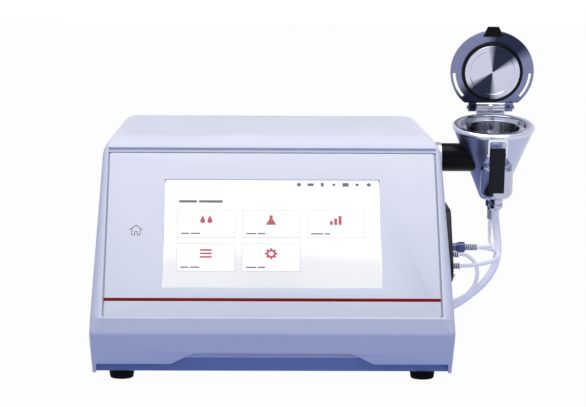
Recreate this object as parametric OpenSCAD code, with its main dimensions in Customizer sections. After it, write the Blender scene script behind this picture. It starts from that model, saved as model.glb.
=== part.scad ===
// Benchtop density meter: slanted touch-screen housing with a tilted filling funnel on its right side.
// Millimetres, +Z up, +Y to the back. The origin is on the bench, under the middle of the whole instrument.
// Each module is drawn about the middle of the housing, and in_frame() moves it to the origin's frame.

/* [Housing] */
// Width of the housing at its widest, across the fold of the chin
body_w = 360; // [345:1:380]
// Depth of the housing from the foot of the slope to the rear face
body_d = 384; // [376:1:410]
// Height of the top above the bench
body_h = 228; // [222:1:240]
// Thickness of the moulded wall
wall = 3; // [2.5:0.1:3.5]
// Angle that the front leans back from upright
front_tilt = 40; // [38:1:42]
// Height of the foot of the slope, where the front would end without its chin
slope_z = 50; // [47:1:53]
// Height of the fold across the chin
fold_z = 48; // [45:0.5:50]
// How far the fold lies behind the foot of the slope
fold_in = 7; // [5:0.5:8]
// How far the chin runs back below the fold
chin_back = 7; // [4:1:10]
// Height of the chin's lower edge
chin_edge_z = 17.5; // [16:0.5:20]
// Width of the finger recess in the chin
grip_w = 155; // [120:1:180]
// Height of the finger recess above the chin's edge
grip_h = 11; // [8:0.5:12]
// How much narrower each side is at the top than at the fold
top_narrow = 4; // [2:0.5:6]
// How much narrower each side is at the rear than at the front
rear_narrow = 9; // [5:0.5:11]
// How far each side tucks in below the fold
side_tuck = 3; // [1:0.5:6]
// Radius of the long top edges
edge_r = 20; // [16:1:24]
// Radius of the hood above the front panel
hood_r = 30; // [24:1:32]

/* [Front panel] */
// Width of the front panel
panel_w = 331.5; // [320:0.5:334]
// Length of the front panel along the slope
panel_l = 192.5; // [186:0.5:193]
// Thickness of the front panel
panel_t = 3; // [2:0.5:4]
// Distance up the slope from its foot to the panel's lower edge
panel_up = 20; // [18:0.5:20]
// How far the panel's face lies below the cheeks
panel_recess = 2; // [1:0.5:3]
// Width of the screen
screen_w = 217.5; // [200:0.5:230]
// Length of the screen along the slope
screen_l = 128; // [115:0.5:135]
// Distance up the slope from its foot to the middle of the screen
screen_up = 116.5; // [112:0.5:120]
// Distance up the slope from its foot to the trim strip
strip_up = 39.5; // [36:0.5:42]

/* [Feet] */
// Height of the feet
foot_h = 8.5; // [7:0.5:10]
// Diameter of the feet
foot_d = 25; // [22:0.5:30]
// Distance of each foot's middle from the side of the housing
foot_in_x = 31.5; // [28:0.5:45]
// Distance of each foot's middle from the foot of the slope or the rear face
foot_in_y = 34; // [32:0.5:45]

/* [Funnel] */
// Outer diameter of the rim
rim_d = 86; // [82:0.5:88]
// Diameter of the mouth
mouth_d = 68; // [66:0.5:69]
// Inner diameter of the cup
cup_d = 54; // [50:0.5:56]
// Length of the cone from rim to tip
cone_l = 80; // [78:0.5:84]
// Diameter of the cone's tip
tip_d = 25; // [22:0.5:27]
// Angle that the funnel leans towards the user
funnel_tilt = 10.5; // [8:0.5:12]
// Distance from the housing's middle to the funnel's middle
funnel_x = 232; // [229:0.5:236]
// Distance of the rim's middle behind the housing's middle
funnel_y = 4.5; // [0:0.5:9]
// Height of the rim's middle above the housing's top
funnel_rise = 8.5; // [5:0.5:15]
// Diameter of the arm
arm_d = 29.5; // [26:0.5:31]
// Distance of the arm's axis below the housing's top
arm_drop = 26.5; // [25:0.5:29]

/* [Lid and latch] */
// Diameter of the lid
lid_d = 88; // [84:0.5:90]
// Thickness of the lid
lid_t = 4; // [3:0.5:5]
// Diameter of the lid's plug
plug_d = 60; // [56:0.5:61]
// Diameter of the hinge pin
hinge_pin_d = 4; // [3:0.5:5]
// Length of the latch lever
lever_l = 48.5; // [42:0.5:52]
// Width of the latch lever
lever_w = 16; // [14:0.5:18]

/* [Drain] */
// Diameter of the drain block
drain_d = 34; // [30:0.5:36]
// Length of the drain block
drain_l = 35.5; // [32:0.5:38]
// Diameter of the waste hose
hose_d = 8; // [7:0.5:9]
// Diameter of the thin tubes
tube_d = 4; // [3:0.25:4.25]

/* [Ports] */
// Height of the sample inlet
inlet_z = 114.5; // [112:0.5:116]
// Distance of the sample inlet in front of the housing's middle
inlet_front = 50; // [48:0.5:52]
// Outer face of the port plate, from the housing's middle
plate_x = 181.5; // [180.5:0.5:183]
// Diameter of the knurled nut
nut_d = 11; // [10:0.5:12]

/* [Hidden] */
$fn = 48;

fit = 0.3;            // gap round a piece that is set into another
run = 0.05;           // radial clearance of a turning fit
far = 600;            // reaches past the housing

// ---- outlines of the housing ----

half_w = body_w / 2;
middle_x = (funnel_x + lid_d / 2 - half_w) / 2;   // middle of the whole instrument, from the housing's
middle_y = fold_in / 2;
front_y = -body_d / 2;
rear_y = body_d / 2;
fold_y = front_y + fold_in;
plan_front_r = 12;
fold_r = 8;
lip_r = 4;            // soft edge between the slope and the chin
chin_lip = 3;         // slope that is left below the panel
rear_r = 18;
side_soft_r = 30;
arc_steps = 6;
side_turn = atan(rear_narrow / body_d);

function unit(v) = v / norm(v);
function left_of(v) = [-v[1], v[0]];
function deg_of(v) = atan2(v[1], v[0]);

// One corner of a closed outline that turns left: moved in by inset, and rounded by radius less inset.
function corner(a, b, c, radius, inset) =
    let (u = unit(b - a), v = unit(c - b), nu = left_of(u), nv = left_of(v))
    let (p = b + (nu + nv) * inset / (1 + nu * nv), r = max(radius - inset, 0.5))
    let (turn = acos(min(1, u * v)), m = p - u * r * tan(turn / 2) + nu * r, start = deg_of(-nu))
    radius == 0 ? [p] : [for (k = [0 : arc_steps]) m + r * [cos(start + turn * k / arc_steps),
        sin(start + turn * k / arc_steps)]];

function outline(pts, radii, inset) =
    let (n = len(pts))
    [for (i = [0 : n - 1]) each corner(pts[(i + n - 1) % n], pts[i], pts[(i + 1) % n], radii[i], inset)];

// Depth of the slope at height z, and of the chin's face below the fold.
function slope_y(z) = front_y + (z - slope_z) * tan(front_tilt);
function chin_y(z) = fold_y + chin_back * (fold_z - z) / (fold_z - foot_h);
chin_top_z = slope_z + (panel_up - chin_lip) * cos(front_tilt);
// Half width of the housing at the front, at height z below the fold.
function tuck_x(z) = half_w - side_tuck * (fold_z - z) / (fold_z - foot_h);

function side_pts(low) = [[chin_y(low), low], [rear_y, low], [rear_y, body_h], [slope_y(body_h), body_h],
    [slope_y(chin_top_z), chin_top_z], [fold_y, fold_z]];
function half_front_pts(low) = [[-far, low], [tuck_x(low), low], [half_w, fold_z],
    [half_w - top_narrow, body_h], [-far, body_h]];
plan_pts = [[-half_w, fold_y], [half_w, fold_y], [half_w - rear_narrow, rear_y],
    [rear_narrow - half_w, rear_y]];

// One side of the housing: everything inside its leaning, tapering wall.
module side_prism(side, inset, low) {
    mirror([side, 0, 0])
        translate([half_w, front_y, 0])
            rotate([0, 0, side_turn])
                translate([-half_w, far, 0])
                    rotate([90, 0, 0])
                        linear_extrude(2 * far)
                            polygon(outline(half_front_pts(low), [0, 0, side_soft_r, edge_r, 0], inset));
}

// The housing's form, its faces moved in by inset and its bottom at low.
module body_form(inset, low) {
    intersection() {
        rotate([90, 0, 90])
            translate([0, 0, -far / 2])
                linear_extrude(far)
                    polygon(outline(side_pts(low), [0, 0, rear_r, hood_r, lip_r, fold_r], inset));
        side_prism(0, inset, low);
        side_prism(1, inset, low);
        translate([0, 0, low])
            linear_extrude(body_h - low)
                polygon(outline(plan_pts, [plan_front_r, plan_front_r, edge_r, edge_r], inset));
    }
}

// Children, drawn about the housing's middle, in the frame of the whole instrument.
module in_frame() {
    translate([-middle_x, -middle_y, 0])
        children();
}

// Children placed on the front: x across, y up the slope from its foot, z out of the face.
module on_front() {
    translate([0, front_y, slope_z])
        rotate([90 - front_tilt, 0, 0])
            children();
}

// A block from one corner to the other.
module block(low, high) {
    translate(low)
        cube(high - low);
}

// A cylinder along X, Y or Z from one end to the other.
module rod_x(at, r, len) {
    translate(at)
        rotate([0, 90, 0])
            cylinder(r = r, h = len);
}

module rod_y(at, r, len) {
    translate(at)
        rotate([-90, 0, 0])
            cylinder(r = r, h = len);
}

module rod_z(at, r, len) {
    translate(at)
        cylinder(r = r, h = len);
}

// ---- places shared by the base, the covers and the parts inside ----

pan_t = 2;
floor_z = foot_h + pan_t;
pan_in = 24;
pan_front_y = front_y + pan_in;
pan_lip_z = 36;
inner_rear_y = rear_y - wall;
rear_open_w = 288;
rear_open_top = 196;
rear_lap = 8;
rear_t = 2;
panel_y = inner_rear_y - rear_t;
screw_r = 1.5;
screw_head_r = 3;
screw_head_t = 1.6;
rear_screw_z = [30, 110, 188];
rear_screws = [for (x = [-1, 1], z = rear_screw_z) [x * (rear_open_w + rear_lap) / 2, z]];
post_r = 5;
post_top = 40;
post_in_x = 20;
post_in_y = 72;
post_x = half_w - post_in_x;
posts = [for (x = [-1, 1], y = [-1, 1]) [x * post_x, y * (rear_y - post_in_y)]];
feet = [for (x = [-1, 1], y = [-1, 1]) [x * (half_w - foot_in_x), y * (rear_y - foot_in_y)]];
foot_boss_r = 6;
foot_boss_h = 9;
foot_screw_r = 2;
foot_recess_r = foot_screw_r + 2.5;
sole_in = 2.5;
foot_recess_h = 3;
foot_head_t = 1.6;
post_web_t = 4;
post_screw_l = 14;
vent_pitch = 12;
vent_w = 6;
vent_y = [-100, -60];

// ---- housing ----

ledge_w = 6;
ledge_t = 3;
panel_gap = 0.8;
lip_up = 217.5;       // the hood's lip, up the slope from its foot
cheek_foot = 5;       // width of the cheek's end beside the chin's lower edge
plate_low_z = inlet_z - 26.5;
plate_top_z = inlet_z + 42.5;
plate_rear_y = 42 - inlet_front;
plate_lean_gap = 22;  // plate's front edge behind the edge of the cheek
plate_r = 14;
plate_margin = 9;
side_from = half_w - 30;       // holes through the side wall run from here
side_len = 60;

function plate_front_y(z) = slope_y(z) + plate_lean_gap;
plate_pts = [[plate_front_y(plate_low_z), plate_low_z], [plate_rear_y, plate_low_z],
    [plate_rear_y, plate_top_z], [plate_front_y(plate_top_z), plate_top_z]];

// The port plate's outline, moved in by inset and extruded along X from x0 to x1.
module plate_prism(inset, x0, x1) {
    translate([x0, 0, 0])
        rotate([90, 0, 90])
            linear_extrude(x1 - x0)
                polygon(outline(plate_pts, [plate_r, plate_r, plate_r, plate_r], inset));
}

module rear_opening() {
    block([-rear_open_w / 2, rear_y - wall - 1, -1], [rear_open_w / 2, rear_y + 1, rear_open_top]);
}

module front_opening() {
    half = panel_w / 2 + panel_gap;
    on_front() {
        block([-half, panel_up - panel_gap, -panel_recess - panel_t],
            [half, panel_up + panel_l + panel_gap, far]);
        block([-half, panel_up, -panel_recess], [half, lip_up, far]);
        block([-half + ledge_w, panel_up + ledge_w, -far / 10],
            [half - ledge_w, panel_up + panel_l - ledge_w, 1]);
    }
}

module chin_recess() {
    side = tuck_x(chin_edge_z) - cheek_foot;
    half = grip_w / 2;
    block([-side, front_y - 1, foot_h - 1], [side, pan_front_y, chin_edge_z]);
    translate([0, pan_front_y, 0])
        rotate([90, 0, 0])
            linear_extrude(pan_front_y - front_y + 1)
                polygon([[-half - 2 * grip_h, chin_edge_z - 0.1], [half + 2 * grip_h, chin_edge_z - 0.1],
                    [half, chin_edge_z + grip_h], [-half, chin_edge_z + grip_h]]);
}

module housing_shell() {
    color("gainsboro")
        difference() {
            union() {
                difference() {
                    body_form(0, foot_h);
                    body_form(wall, -foot_h);
                }
                intersection() {
                    body_form(wall / 2, foot_h);
                    on_front()
                        block([-half_w, panel_up - ledge_w, -panel_recess - panel_t - ledge_t],
                            [half_w, lip_up + ledge_w, -panel_recess]);
                }
                for (p = posts)
                    intersection() {
                        body_form(wall / 2, floor_z);
                        union() {
                            rod_z([p[0], p[1], floor_z], post_r, post_top - floor_z);
                            mirror([p[0] < 0 ? 1 : 0, 0, 0])
                                block([post_x, p[1] - post_web_t / 2, floor_z],
                                    [half_w, p[1] + post_web_t / 2, post_top]);
                        }
                    }
            }
            rear_opening();
            front_opening();
            chin_recess();
            plate_prism(plate_margin, side_from, side_from + side_len);
            rod_x([side_from, funnel_y, arm_z], arm_d / 2 + fit, side_len);
            for (p = posts)
                rod_z([p[0], p[1], floor_z - 1], screw_r, 20);
            for (s = rear_screws)
                rod_y([s[0], rear_y - wall - 1, s[1]], screw_r, wall + 2);
            for (s = plate_screws)
                rod_x([side_from, s[0], s[1]], screw_r, side_len);
            for (p = inner_ports)
                rod_x([side_from, p[0], p[1]], stem_r + fit, side_len);
            for (p = low_ports)
                rod_x([side_from, p[0], p[1]], low_port_r, side_len);
        }
}

module base_pan() {
    color("slategray")
        difference() {
            union() {
                intersection() {
                    body_form(wall + fit, -foot_h);
                    union() {
                        block([-half_w, pan_front_y, foot_h], [half_w, panel_y, floor_z]);
                        block([-half_w, pan_front_y, foot_h], [half_w, pan_front_y + pan_t, pan_lip_z]);
                    }
                }
                for (p = feet)
                    rod_z([p[0], p[1], floor_z], foot_boss_r, foot_boss_h);
            }
            for (p = feet)
                rod_z([p[0], p[1], foot_h - 1], foot_screw_r, foot_boss_h);
            for (p = posts)
                rod_z([p[0], p[1], foot_h - 1], screw_r, pan_t + 2);
            for (k = [-5 : 5])
                block([k * vent_pitch - vent_w / 2, vent_y[0], foot_h - 1],
                    [k * vent_pitch + vent_w / 2, vent_y[1], floor_z + 1]);
        }
}

module rubber_feet() {
    r = foot_d / 2;
    color("black")
        for (p = feet)
            translate([p[0], p[1], 0])
                rotate_extrude()
                    polygon([[foot_recess_r, 0.5], [foot_recess_r, foot_recess_h],
                        [foot_screw_r, foot_recess_h], [foot_screw_r, foot_h], [r, foot_h], [r - 1, 1.5],
                        [r - sole_in, 0], [foot_recess_r + 0.5, 0]]);
}

// Pan-head screws: those of the feet, the base, the rear panel, the fan and the port plate.
module machine_screws() {
    color("silver") {
        for (p = feet) {
            rod_z([p[0], p[1], foot_recess_h - foot_head_t], foot_screw_r + 2, foot_head_t);
            rod_z([p[0], p[1], foot_recess_h], foot_screw_r, foot_h + foot_boss_h - 2 * foot_recess_h);
        }
        for (p = posts) {
            rod_z([p[0], p[1], foot_h - screw_head_t], screw_head_r, screw_head_t);
            rod_z([p[0], p[1], foot_h], screw_r, post_screw_l);
        }
        for (s = rear_screws) {
            rod_y([s[0], rear_y, s[1]], screw_head_r, screw_head_t);
            rod_y([s[0], panel_y - 1, s[1]], screw_r, wall + rear_t + 1);
        }
        for (h = fan_holes) {
            rod_y([h[0], inner_rear_y + guard_t, h[1]], fan_lug_r - 0.5, screw_head_t);
            rod_y([h[0], panel_y - fan_screw_l, h[1]], fan_hole_r, fan_screw_l + rear_t + guard_t);
        }
        for (s = plate_screws) {
            rod_x([plate_x, s[0], s[1]], screw_head_r, screw_head_t);
            rod_x([plate_x - plate_screw_l, s[0], s[1]], screw_r, plate_screw_l);
        }
    }
}

// ---- front panel and display ----

strip_w = 3.4;
strip_t = 0.3;
glass_t = 2;
lcd_t = 7;
board_t = 1.6;
board_gap = 5;
lcd_lap = 4;          // the screen module's frame behind the panel
lcd_clear = 1;
driver_half_w = 80;
driver_half_l = 40;
driver_leg_in = 6;
face_n = -panel_recess;
panel_back_n = face_n - panel_t;

module front_panel() {
    color("whitesmoke")
        on_front()
            difference() {
                block([-panel_w / 2, panel_up, panel_back_n], [panel_w / 2, panel_up + panel_l, face_n]);
                block([-screen_w / 2, screen_up - screen_l / 2, panel_back_n - 1],
                    [screen_w / 2, screen_up + screen_l / 2, face_n + 1]);
            }
}

module trim_strip() {
    color("firebrick")
        on_front()
            block([-panel_w / 2, strip_up - strip_w / 2, face_n],
                [panel_w / 2, strip_up + strip_w / 2, face_n + strip_t]);
}

module display_glass() {
    color("white")
        on_front()
            block([-screen_w / 2 + fit, screen_up - screen_l / 2 + fit, face_n - glass_t],
                [screen_w / 2 - fit, screen_up + screen_l / 2 - fit, face_n]);
}

module lcd_module() {
    half = screen_w / 2;
    low = screen_up - screen_l / 2;
    high = screen_up + screen_l / 2;
    color("silver")
        on_front() {
            block([-half - lcd_lap, low - lcd_lap, panel_back_n - lcd_t],
                [half + lcd_lap, high + lcd_lap, panel_back_n]);
            block([-half + lcd_clear, low + lcd_clear, panel_back_n - 1],
                [half - lcd_clear, high - lcd_clear, face_n - glass_t]);
        }
}

module display_board() {
    top_n = panel_back_n - lcd_t - board_gap;
    leg_x = driver_half_w - driver_leg_in;
    leg_s = driver_half_l - driver_leg_in;
    color("seagreen")
        on_front() {
            block([-driver_half_w, screen_up - driver_half_l, top_n - board_t],
                [driver_half_w, screen_up + driver_half_l, top_n]);
            for (x = [-1, 1], y = [-1, 1])
                rod_z([x * leg_x, screen_up + y * leg_s, top_n], 3, board_gap);
        }
}

// ---- rear ----

inlet_at = [-118, 84];       // mains inlet, x and z
switch_at = [-78, 84];       // power switch
port_z = 45.6;               // top of the main board
usb_x = [-44, -24];
lan_x = 8;
fan_at = [92, 116];
fan_size = 80;
fan_lug_r = 4;
fan_hole_r = 2;
fan_screw_l = 12;
fan_hub_r = 15;
fan_rotor_l = 19;
fan_axle_r = 2;
fan_strut_w = 4;
blade_count = 7;
guard_t = 1.8;
fan_bore_r = 38;
fan_depth = 25;
fan_hole_pitch = 71.5;
fan_holes = [for (x = [-1, 1], z = [-1, 1]) fan_at + [x, z] * fan_hole_pitch / 2];
c14_w = 28;
c14_h = 22;
rocker_r = 8.5;
rocker_w = 11;
rocker_pin_r = 1.5;
rocker_rest = 10;
rocker_y = panel_y - 3;
switch_half_w = 8;
switch_half_h = 11;
switch_lap = 2;
c14_lap = [4, 3];
socket_half = [12, 8];
socket_depth = 16;
pin_pitch = 7;
usb_half_w = 7.2;
usb_h = 7.4;
lan_half_w = 8.2;
lan_h = 13.4;
port_clear = 0.3;
socket_lip = 1;
usb_l = 12;
usb_depth = 9;
usb_mouth = [1.2, 6.2];
lan_l = 14;
lan_depth = 10;
lan_mouth_half = 6;
lan_mouth = [2, 10];
window_x = [-58, 23];        // window for the data ports
window_z = [39, 65];
window_lap = 4;
socket_plate_t = 1.5;
louvre_x = [-110, -40];
louvre_pitch = 8;
louvre_h = 3;
switch_face_y = inner_rear_y + 2;

module rear_panel() {
    before = panel_y - 1;
    behind = inner_rear_y + 1;
    color("lightgray")
        difference() {
            block([-rear_open_w / 2 - rear_lap, panel_y, floor_z],
                [rear_open_w / 2 + rear_lap, inner_rear_y, rear_open_top + rear_lap]);
            block([inlet_at[0] - c14_w / 2, before, inlet_at[1] - c14_h / 2],
                [inlet_at[0] + c14_w / 2, behind, inlet_at[1] + c14_h / 2]);
            block([switch_at[0] - switch_half_w, before, switch_at[1] - switch_half_h],
                [switch_at[0] + switch_half_w, behind, switch_at[1] + switch_half_h]);
            block([window_x[0], before, window_z[0]], [window_x[1], behind, window_z[1]]);
            rod_y([fan_at[0], before, fan_at[1]], fan_bore_r, rear_t + 2);
            for (h = fan_holes)
                rod_y([h[0], before, h[1]], fan_hole_r, rear_t + 2);
            for (s = rear_screws)
                rod_y([s[0], before, s[1]], screw_r, rear_t + 2);
            for (z = [130 : louvre_pitch : 178])
                block([louvre_x[0], before, z], [louvre_x[1], behind, z + louvre_h]);
        }
}

// Thin plate behind the rear panel's window, cut out for the data ports.
module socket_plate() {
    before = panel_y - socket_plate_t - 1;
    color("lightgray")
        difference() {
            block([window_x[0] - window_lap, panel_y - socket_plate_t, window_z[0] - window_lap],
                [window_x[1] + window_lap, panel_y, window_z[1] + window_lap]);
            for (x = usb_x)
                block([x - usb_half_w - port_clear, before, port_z],
                    [x + usb_half_w + port_clear, panel_y + 1, port_z + usb_h + port_clear]);
            block([lan_x - lan_half_w - port_clear, before, port_z],
                [lan_x + lan_half_w + port_clear, panel_y + 1, port_z + lan_h + port_clear]);
        }
}

module mains_inlet() {
    half = [c14_w / 2, c14_h / 2];
    color("black")
        difference() {
            union() {
                block([inlet_at[0] - half[0] + fit, panel_y - 22, inlet_at[1] - half[1] + fit],
                    [inlet_at[0] + half[0] - fit, inner_rear_y, inlet_at[1] + half[1] - fit]);
                block([inlet_at[0] - half[0] - c14_lap[0], inner_rear_y, inlet_at[1] - half[1] - c14_lap[1]],
                    [inlet_at[0] + half[0] + c14_lap[0], inner_rear_y + 2.5,
                    inlet_at[1] + half[1] + c14_lap[1]]);
            }
            block([inlet_at[0] - socket_half[0], panel_y - socket_depth, inlet_at[1] - socket_half[1]],
                [inlet_at[0] + socket_half[0], rear_y + 1, inlet_at[1] + socket_half[1]]);
        }
    color("silver")
        for (k = [-1, 0, 1])
            let (x = inlet_at[0] + k * pin_pitch, z = inlet_at[1] + (k == 0 ? 2 : -2))
                block([x - 1, panel_y - socket_depth, z - 2], [x + 1, panel_y - 1, z + 2]);
}

module power_switch() {
    half_gap = rocker_w / 2 + fit;
    color("black") {
        difference() {
            union() {
                block([switch_at[0] - switch_half_w + fit, panel_y - 14, switch_at[1] - switch_half_h + fit],
                    [switch_at[0] + switch_half_w - fit, inner_rear_y, switch_at[1] + switch_half_h - fit]);
                block([switch_at[0] - switch_half_w - switch_lap, inner_rear_y,
                    switch_at[1] - switch_half_h - switch_lap],
                    [switch_at[0] + switch_half_w + switch_lap, switch_face_y,
                    switch_at[1] + switch_half_h + switch_lap]);
            }
            rod_x([switch_at[0] - half_gap, rocker_y, switch_at[1]], rocker_r + fit, 2 * half_gap);
            block([switch_at[0] - half_gap, rocker_y, switch_at[1] - rocker_r - fit],
                [switch_at[0] + half_gap, rear_y + 1, switch_at[1] + rocker_r + fit]);
        }
        for (side = [0, 1])
            translate([switch_at[0], rocker_y, switch_at[1]])
                mirror([side, 0, 0])
                    rod_x([rocker_w / 2 - 1, 0, 0], rocker_pin_r, 2);
    }
}

// A drum whose front is cut to two shallow faces, the lower one pressed in.
module power_rocker() {
    socket = 1.5;
    rocker_flat = 5.4;
    color("dimgray")
        translate([switch_at[0] - rocker_w / 2, rocker_y, switch_at[1]])
            rotate([rocker_rest, 0, 0])
                difference() {
                    rod_x([0, 0, 0], rocker_r, rocker_w);
                    for (turn = [-12, 12])
                        rotate([turn, 0, 0])
                            block([-1, rocker_flat, -far], [rocker_w + 1, far, far]);
                    rod_x([-1, 0, 0], rocker_pin_r + run, socket + 1);
                    rod_x([rocker_w - socket, 0, 0], rocker_pin_r + run, socket + 1);
                }
}

module data_ports() {
    mouth = inner_rear_y + 1;
    color("silver")
        difference() {
            union() {
                for (x = usb_x)
                    block([x - usb_half_w, panel_y - usb_l, port_z], [x + usb_half_w, mouth, port_z + usb_h]);
                block([lan_x - lan_half_w, panel_y - lan_l, port_z],
                    [lan_x + lan_half_w, mouth, port_z + lan_h]);
            }
            for (x = usb_x)
                block([x - usb_half_w + socket_lip, panel_y - usb_depth, port_z + usb_mouth[0]],
                    [x + usb_half_w - socket_lip, rear_y, port_z + usb_mouth[1]]);
            block([lan_x - lan_mouth_half, panel_y - lan_depth, port_z + lan_mouth[0]],
                [lan_x + lan_mouth_half, rear_y, port_z + lan_mouth[1]]);
        }
}

module fan_frame() {
    color("dimgray")
        difference() {
            translate([fan_at[0], panel_y - fan_depth, fan_at[1]]) {
                difference() {
                    block([-fan_size / 2, 0, -fan_size / 2], [fan_size / 2, fan_depth, fan_size / 2]);
                    rod_y([0, -1, 0], fan_bore_r, fan_depth + 2);
                }
                for (turn = [0, 90])
                    rotate([0, turn, 0])
                        block([-fan_bore_r - 1, 0, -fan_strut_w / 2], [fan_bore_r + 1, 2, fan_strut_w / 2]);
                rod_y([0, 0, 0], fan_hub_r - 1, 3);
                rod_y([0, 0, 0], fan_axle_r, 14);
            }
            for (h = fan_holes)
                rod_y([h[0], panel_y - fan_depth - 1, h[1]], fan_hole_r, fan_depth + 2);
        }
}

module fan_rotor() {
    color("black")
        translate([fan_at[0], panel_y - fan_depth + 4, fan_at[1]])
            difference() {
                union() {
                    rod_y([0, 0, 0], fan_hub_r, fan_rotor_l);
                    intersection() {
                        for (k = [1 : blade_count])
                            rotate([0, k * 360 / blade_count, 0])
                                fan_blade();
                        rod_y([0, 0, 0], fan_bore_r - 1.5, fan_rotor_l);
                    }
                }
                rod_y([0, -1, 0], fan_axle_r + run, 12);
            }
}

// A flat blade, pitched across the hub.
module fan_blade() {
    translate([fan_hub_r - 3, fan_rotor_l / 2, 0])
        rotate([35, 0, 0])
            block([0, -9, -0.9], [30, 9, 0.9]);
}

module fan_guard() {
    spoke = fan_hole_pitch / sqrt(2);
    color("silver")
        difference() {
            union() {
                translate([fan_at[0], inner_rear_y, fan_at[1]]) {
                    for (r = [11 : 8 : 35])
                        rotate([-90, 0, 0])
                            rotate_extrude()
                                translate([r, guard_t / 2])
                                    square(guard_t, center = true);
                    for (turn = [45, 135])
                        rotate([0, turn, 0])
                            block([-spoke, 0, -1.2], [spoke, guard_t, 1.2]);
                }
                for (h = fan_holes)
                    rod_y([h[0], inner_rear_y, h[1]], fan_lug_r, guard_t);
            }
            for (h = fan_holes)
                rod_y([h[0], inner_rear_y - 1, h[1]], fan_hole_r, guard_t + 2);
        }
}

// ---- places of the ports on the right side ----

stem_r = 3;
stub_x = half_w - 13;
inlet_y = -inlet_front;
inlet_at_side = [inlet_y, inlet_z];
bypass_at = [inlet_y + 16, inlet_z - 10];
loop_at = [inlet_y, inlet_z - 19.5];
return_at = [inlet_y + 28, inlet_z - 3.3];
inner_ports = [inlet_at_side, bypass_at, loop_at, return_at];
low_ports = [[-32, 50], [-46, 58]];
low_port_r = 5;
low_port_lip = 1.5;
low_port_x = plate_x + 2.5;
collar_l = 9;
inlet_collar_r = 4;
fitting_x = plate_x + collar_l;     // end of the inlet's collar, where the nut starts
nut_l = 8.5;
inlet_end_x = fitting_x + nut_l;
small_port_x = plate_x + 6;
small_port_r = 3.6;
tube_r = tube_d / 2;
spring_wire_r = 0.5;
spring_r = tube_r + 0.4 + spring_wire_r;
inlet_spring_l = 13;
small_spring_l = 7;
plate_screw_l = 12;
plate_screw_in = 10;
plate_screws = [[plate_front_y(plate_top_z) + plate_screw_in + 1, plate_top_z - plate_screw_in - 1],
    [plate_rear_y - plate_screw_in, plate_top_z - plate_screw_in],
    [plate_front_y(plate_low_z) + 2 * plate_screw_in - 1, plate_low_z + plate_screw_in - 1],
    [plate_rear_y - plate_screw_in, plate_low_z + plate_screw_in]];
plate_root = 20;
plate_plug = 10;

// ---- inside ----

supply_low = [-150, rear_y - 132, floor_z];
supply_high = [-74, rear_y - 42, 52];
supply_slots = [supply_low[1] + 15 : 10 : supply_high[1] - 15];
board_x = [-62, 50];
board_y = [20, panel_y - 3];
standoff_r = 3;
standoff_in = 6;
standoff_pin_r = 1.5;
sink_x = [60, 140];
sink_y = [-90, 10];
sink_top = 44;
peltier_x = [80, 120];
peltier_l = 40;
peltier_y = [-82, -38];
cell_x = [66, 137];
cell_y = [-84, 4];
cell_bottom = 48;
cell_top = 119;
u_leg = 7;            // half the distance between the legs of the U-tube
u_r = 2.5;
u_mid_y = inlet_y - 12;
u_z = 100;
pump_at = [110, 48];  // pump axis, y and z
pump_x = 101;
pump_plate_t = 3;
pump_head_w = 24;
motor_r = 18;
motor_l = 38;
motor_boss_r = 6;
pump_half = 26;
shaft_r = 2.5;
roller_at = 13;
roller_r = 5;
pump_bore_r = 21;
bracket_in = 28.5;
bracket_t = 6;
bracket_x = [half_w - bracket_in, half_w - bracket_in + bracket_t];
bracket_y = [funnel_y - 18.5, funnel_y + 26.5];
bracket_window_z = [60, 150];
bracket_margin = 8;
bracket_foot = [10, 4];

module power_supply() {
    color("silver")
        difference() {
            block(supply_low, supply_high);
            for (y = supply_slots)
                block([supply_low[0] + 8, y, supply_high[2] - 1.5],
                    [supply_high[0] - 8, y + 4, supply_high[2] + 1]);
        }
}

module main_board() {
    color("seagreen")
        difference() {
            union() {
                block([board_x[0], board_y[0], port_z - board_t], [board_x[1], board_y[1], port_z]);
                block([-40, 50, port_z], [-10, 80, port_z + 3]);
                block([5, 60, port_z], [30, 75, port_z + 6]);
            }
            for (x = board_x, y = board_y)
                rod_z([standoff_x(x), standoff_y(y), port_z - 4], standoff_pin_r + 0.1, 8);
        }
}

function standoff_x(x) = x < 0 ? x + standoff_in : x - standoff_in;
function standoff_y(y) = y < 100 ? y + standoff_in : y - 22;

module board_standoffs() {
    color("gold")
        for (x = board_x, y = board_y) {
            rod_z([standoff_x(x), standoff_y(y), floor_z], standoff_r, port_z - board_t - floor_z);
            rod_z([standoff_x(x), standoff_y(y), floor_z], standoff_pin_r, port_z - floor_z + 1.5);
        }
}

module heat_sink() {
    color("silver")
        difference() {
            block([sink_x[0], sink_y[0], floor_z], [sink_x[1], sink_y[1], sink_top]);
            for (x = [sink_x[0] + 4 : 8 : sink_x[1] - 8])
                block([x, sink_y[0] - 1, floor_z + 4], [x + 5, sink_y[1] + 1, sink_top - 6]);
        }
}

module peltier_pair() {
    color("white")
        for (y = peltier_y)
            block([peltier_x[0], y, sink_top], [peltier_x[1], y + peltier_l, cell_bottom]);
}

module cell_block() {
    color("lightsteelblue")
        difference() {
            block([cell_x[0], cell_y[0], cell_bottom], [cell_x[1], cell_y[1], cell_top]);
            block([cell_x[0] + 8, u_mid_y - u_leg - 8, u_z - 8],
                [cell_x[1] - 6, u_mid_y + u_leg + 8, cell_top + 1]);
            for (side = [-1, 1])
                rod_x([cell_x[1] - 7, u_mid_y + side * u_leg, u_z], u_r, 8);
            for (p = inner_ports)
                rod_x([cell_x[1] - 5, p[0], p[1]], tube_r, 6);
        }
}

// The oscillating tube: two legs clamped in the block's wall and a half ring at their free end.
module u_tube() {
    color("azure") {
        for (side = [-1, 1])
            rod_x([cell_x[0] + 22, u_mid_y + side * u_leg, u_z], u_r, cell_x[1] - cell_x[0] - 22);
        translate([cell_x[0] + 22, u_mid_y, u_z])
            rotate([0, 0, 90])
                rotate_extrude(angle = 180)
                    translate([u_leg, 0])
                        circle(u_r);
    }
}

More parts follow.
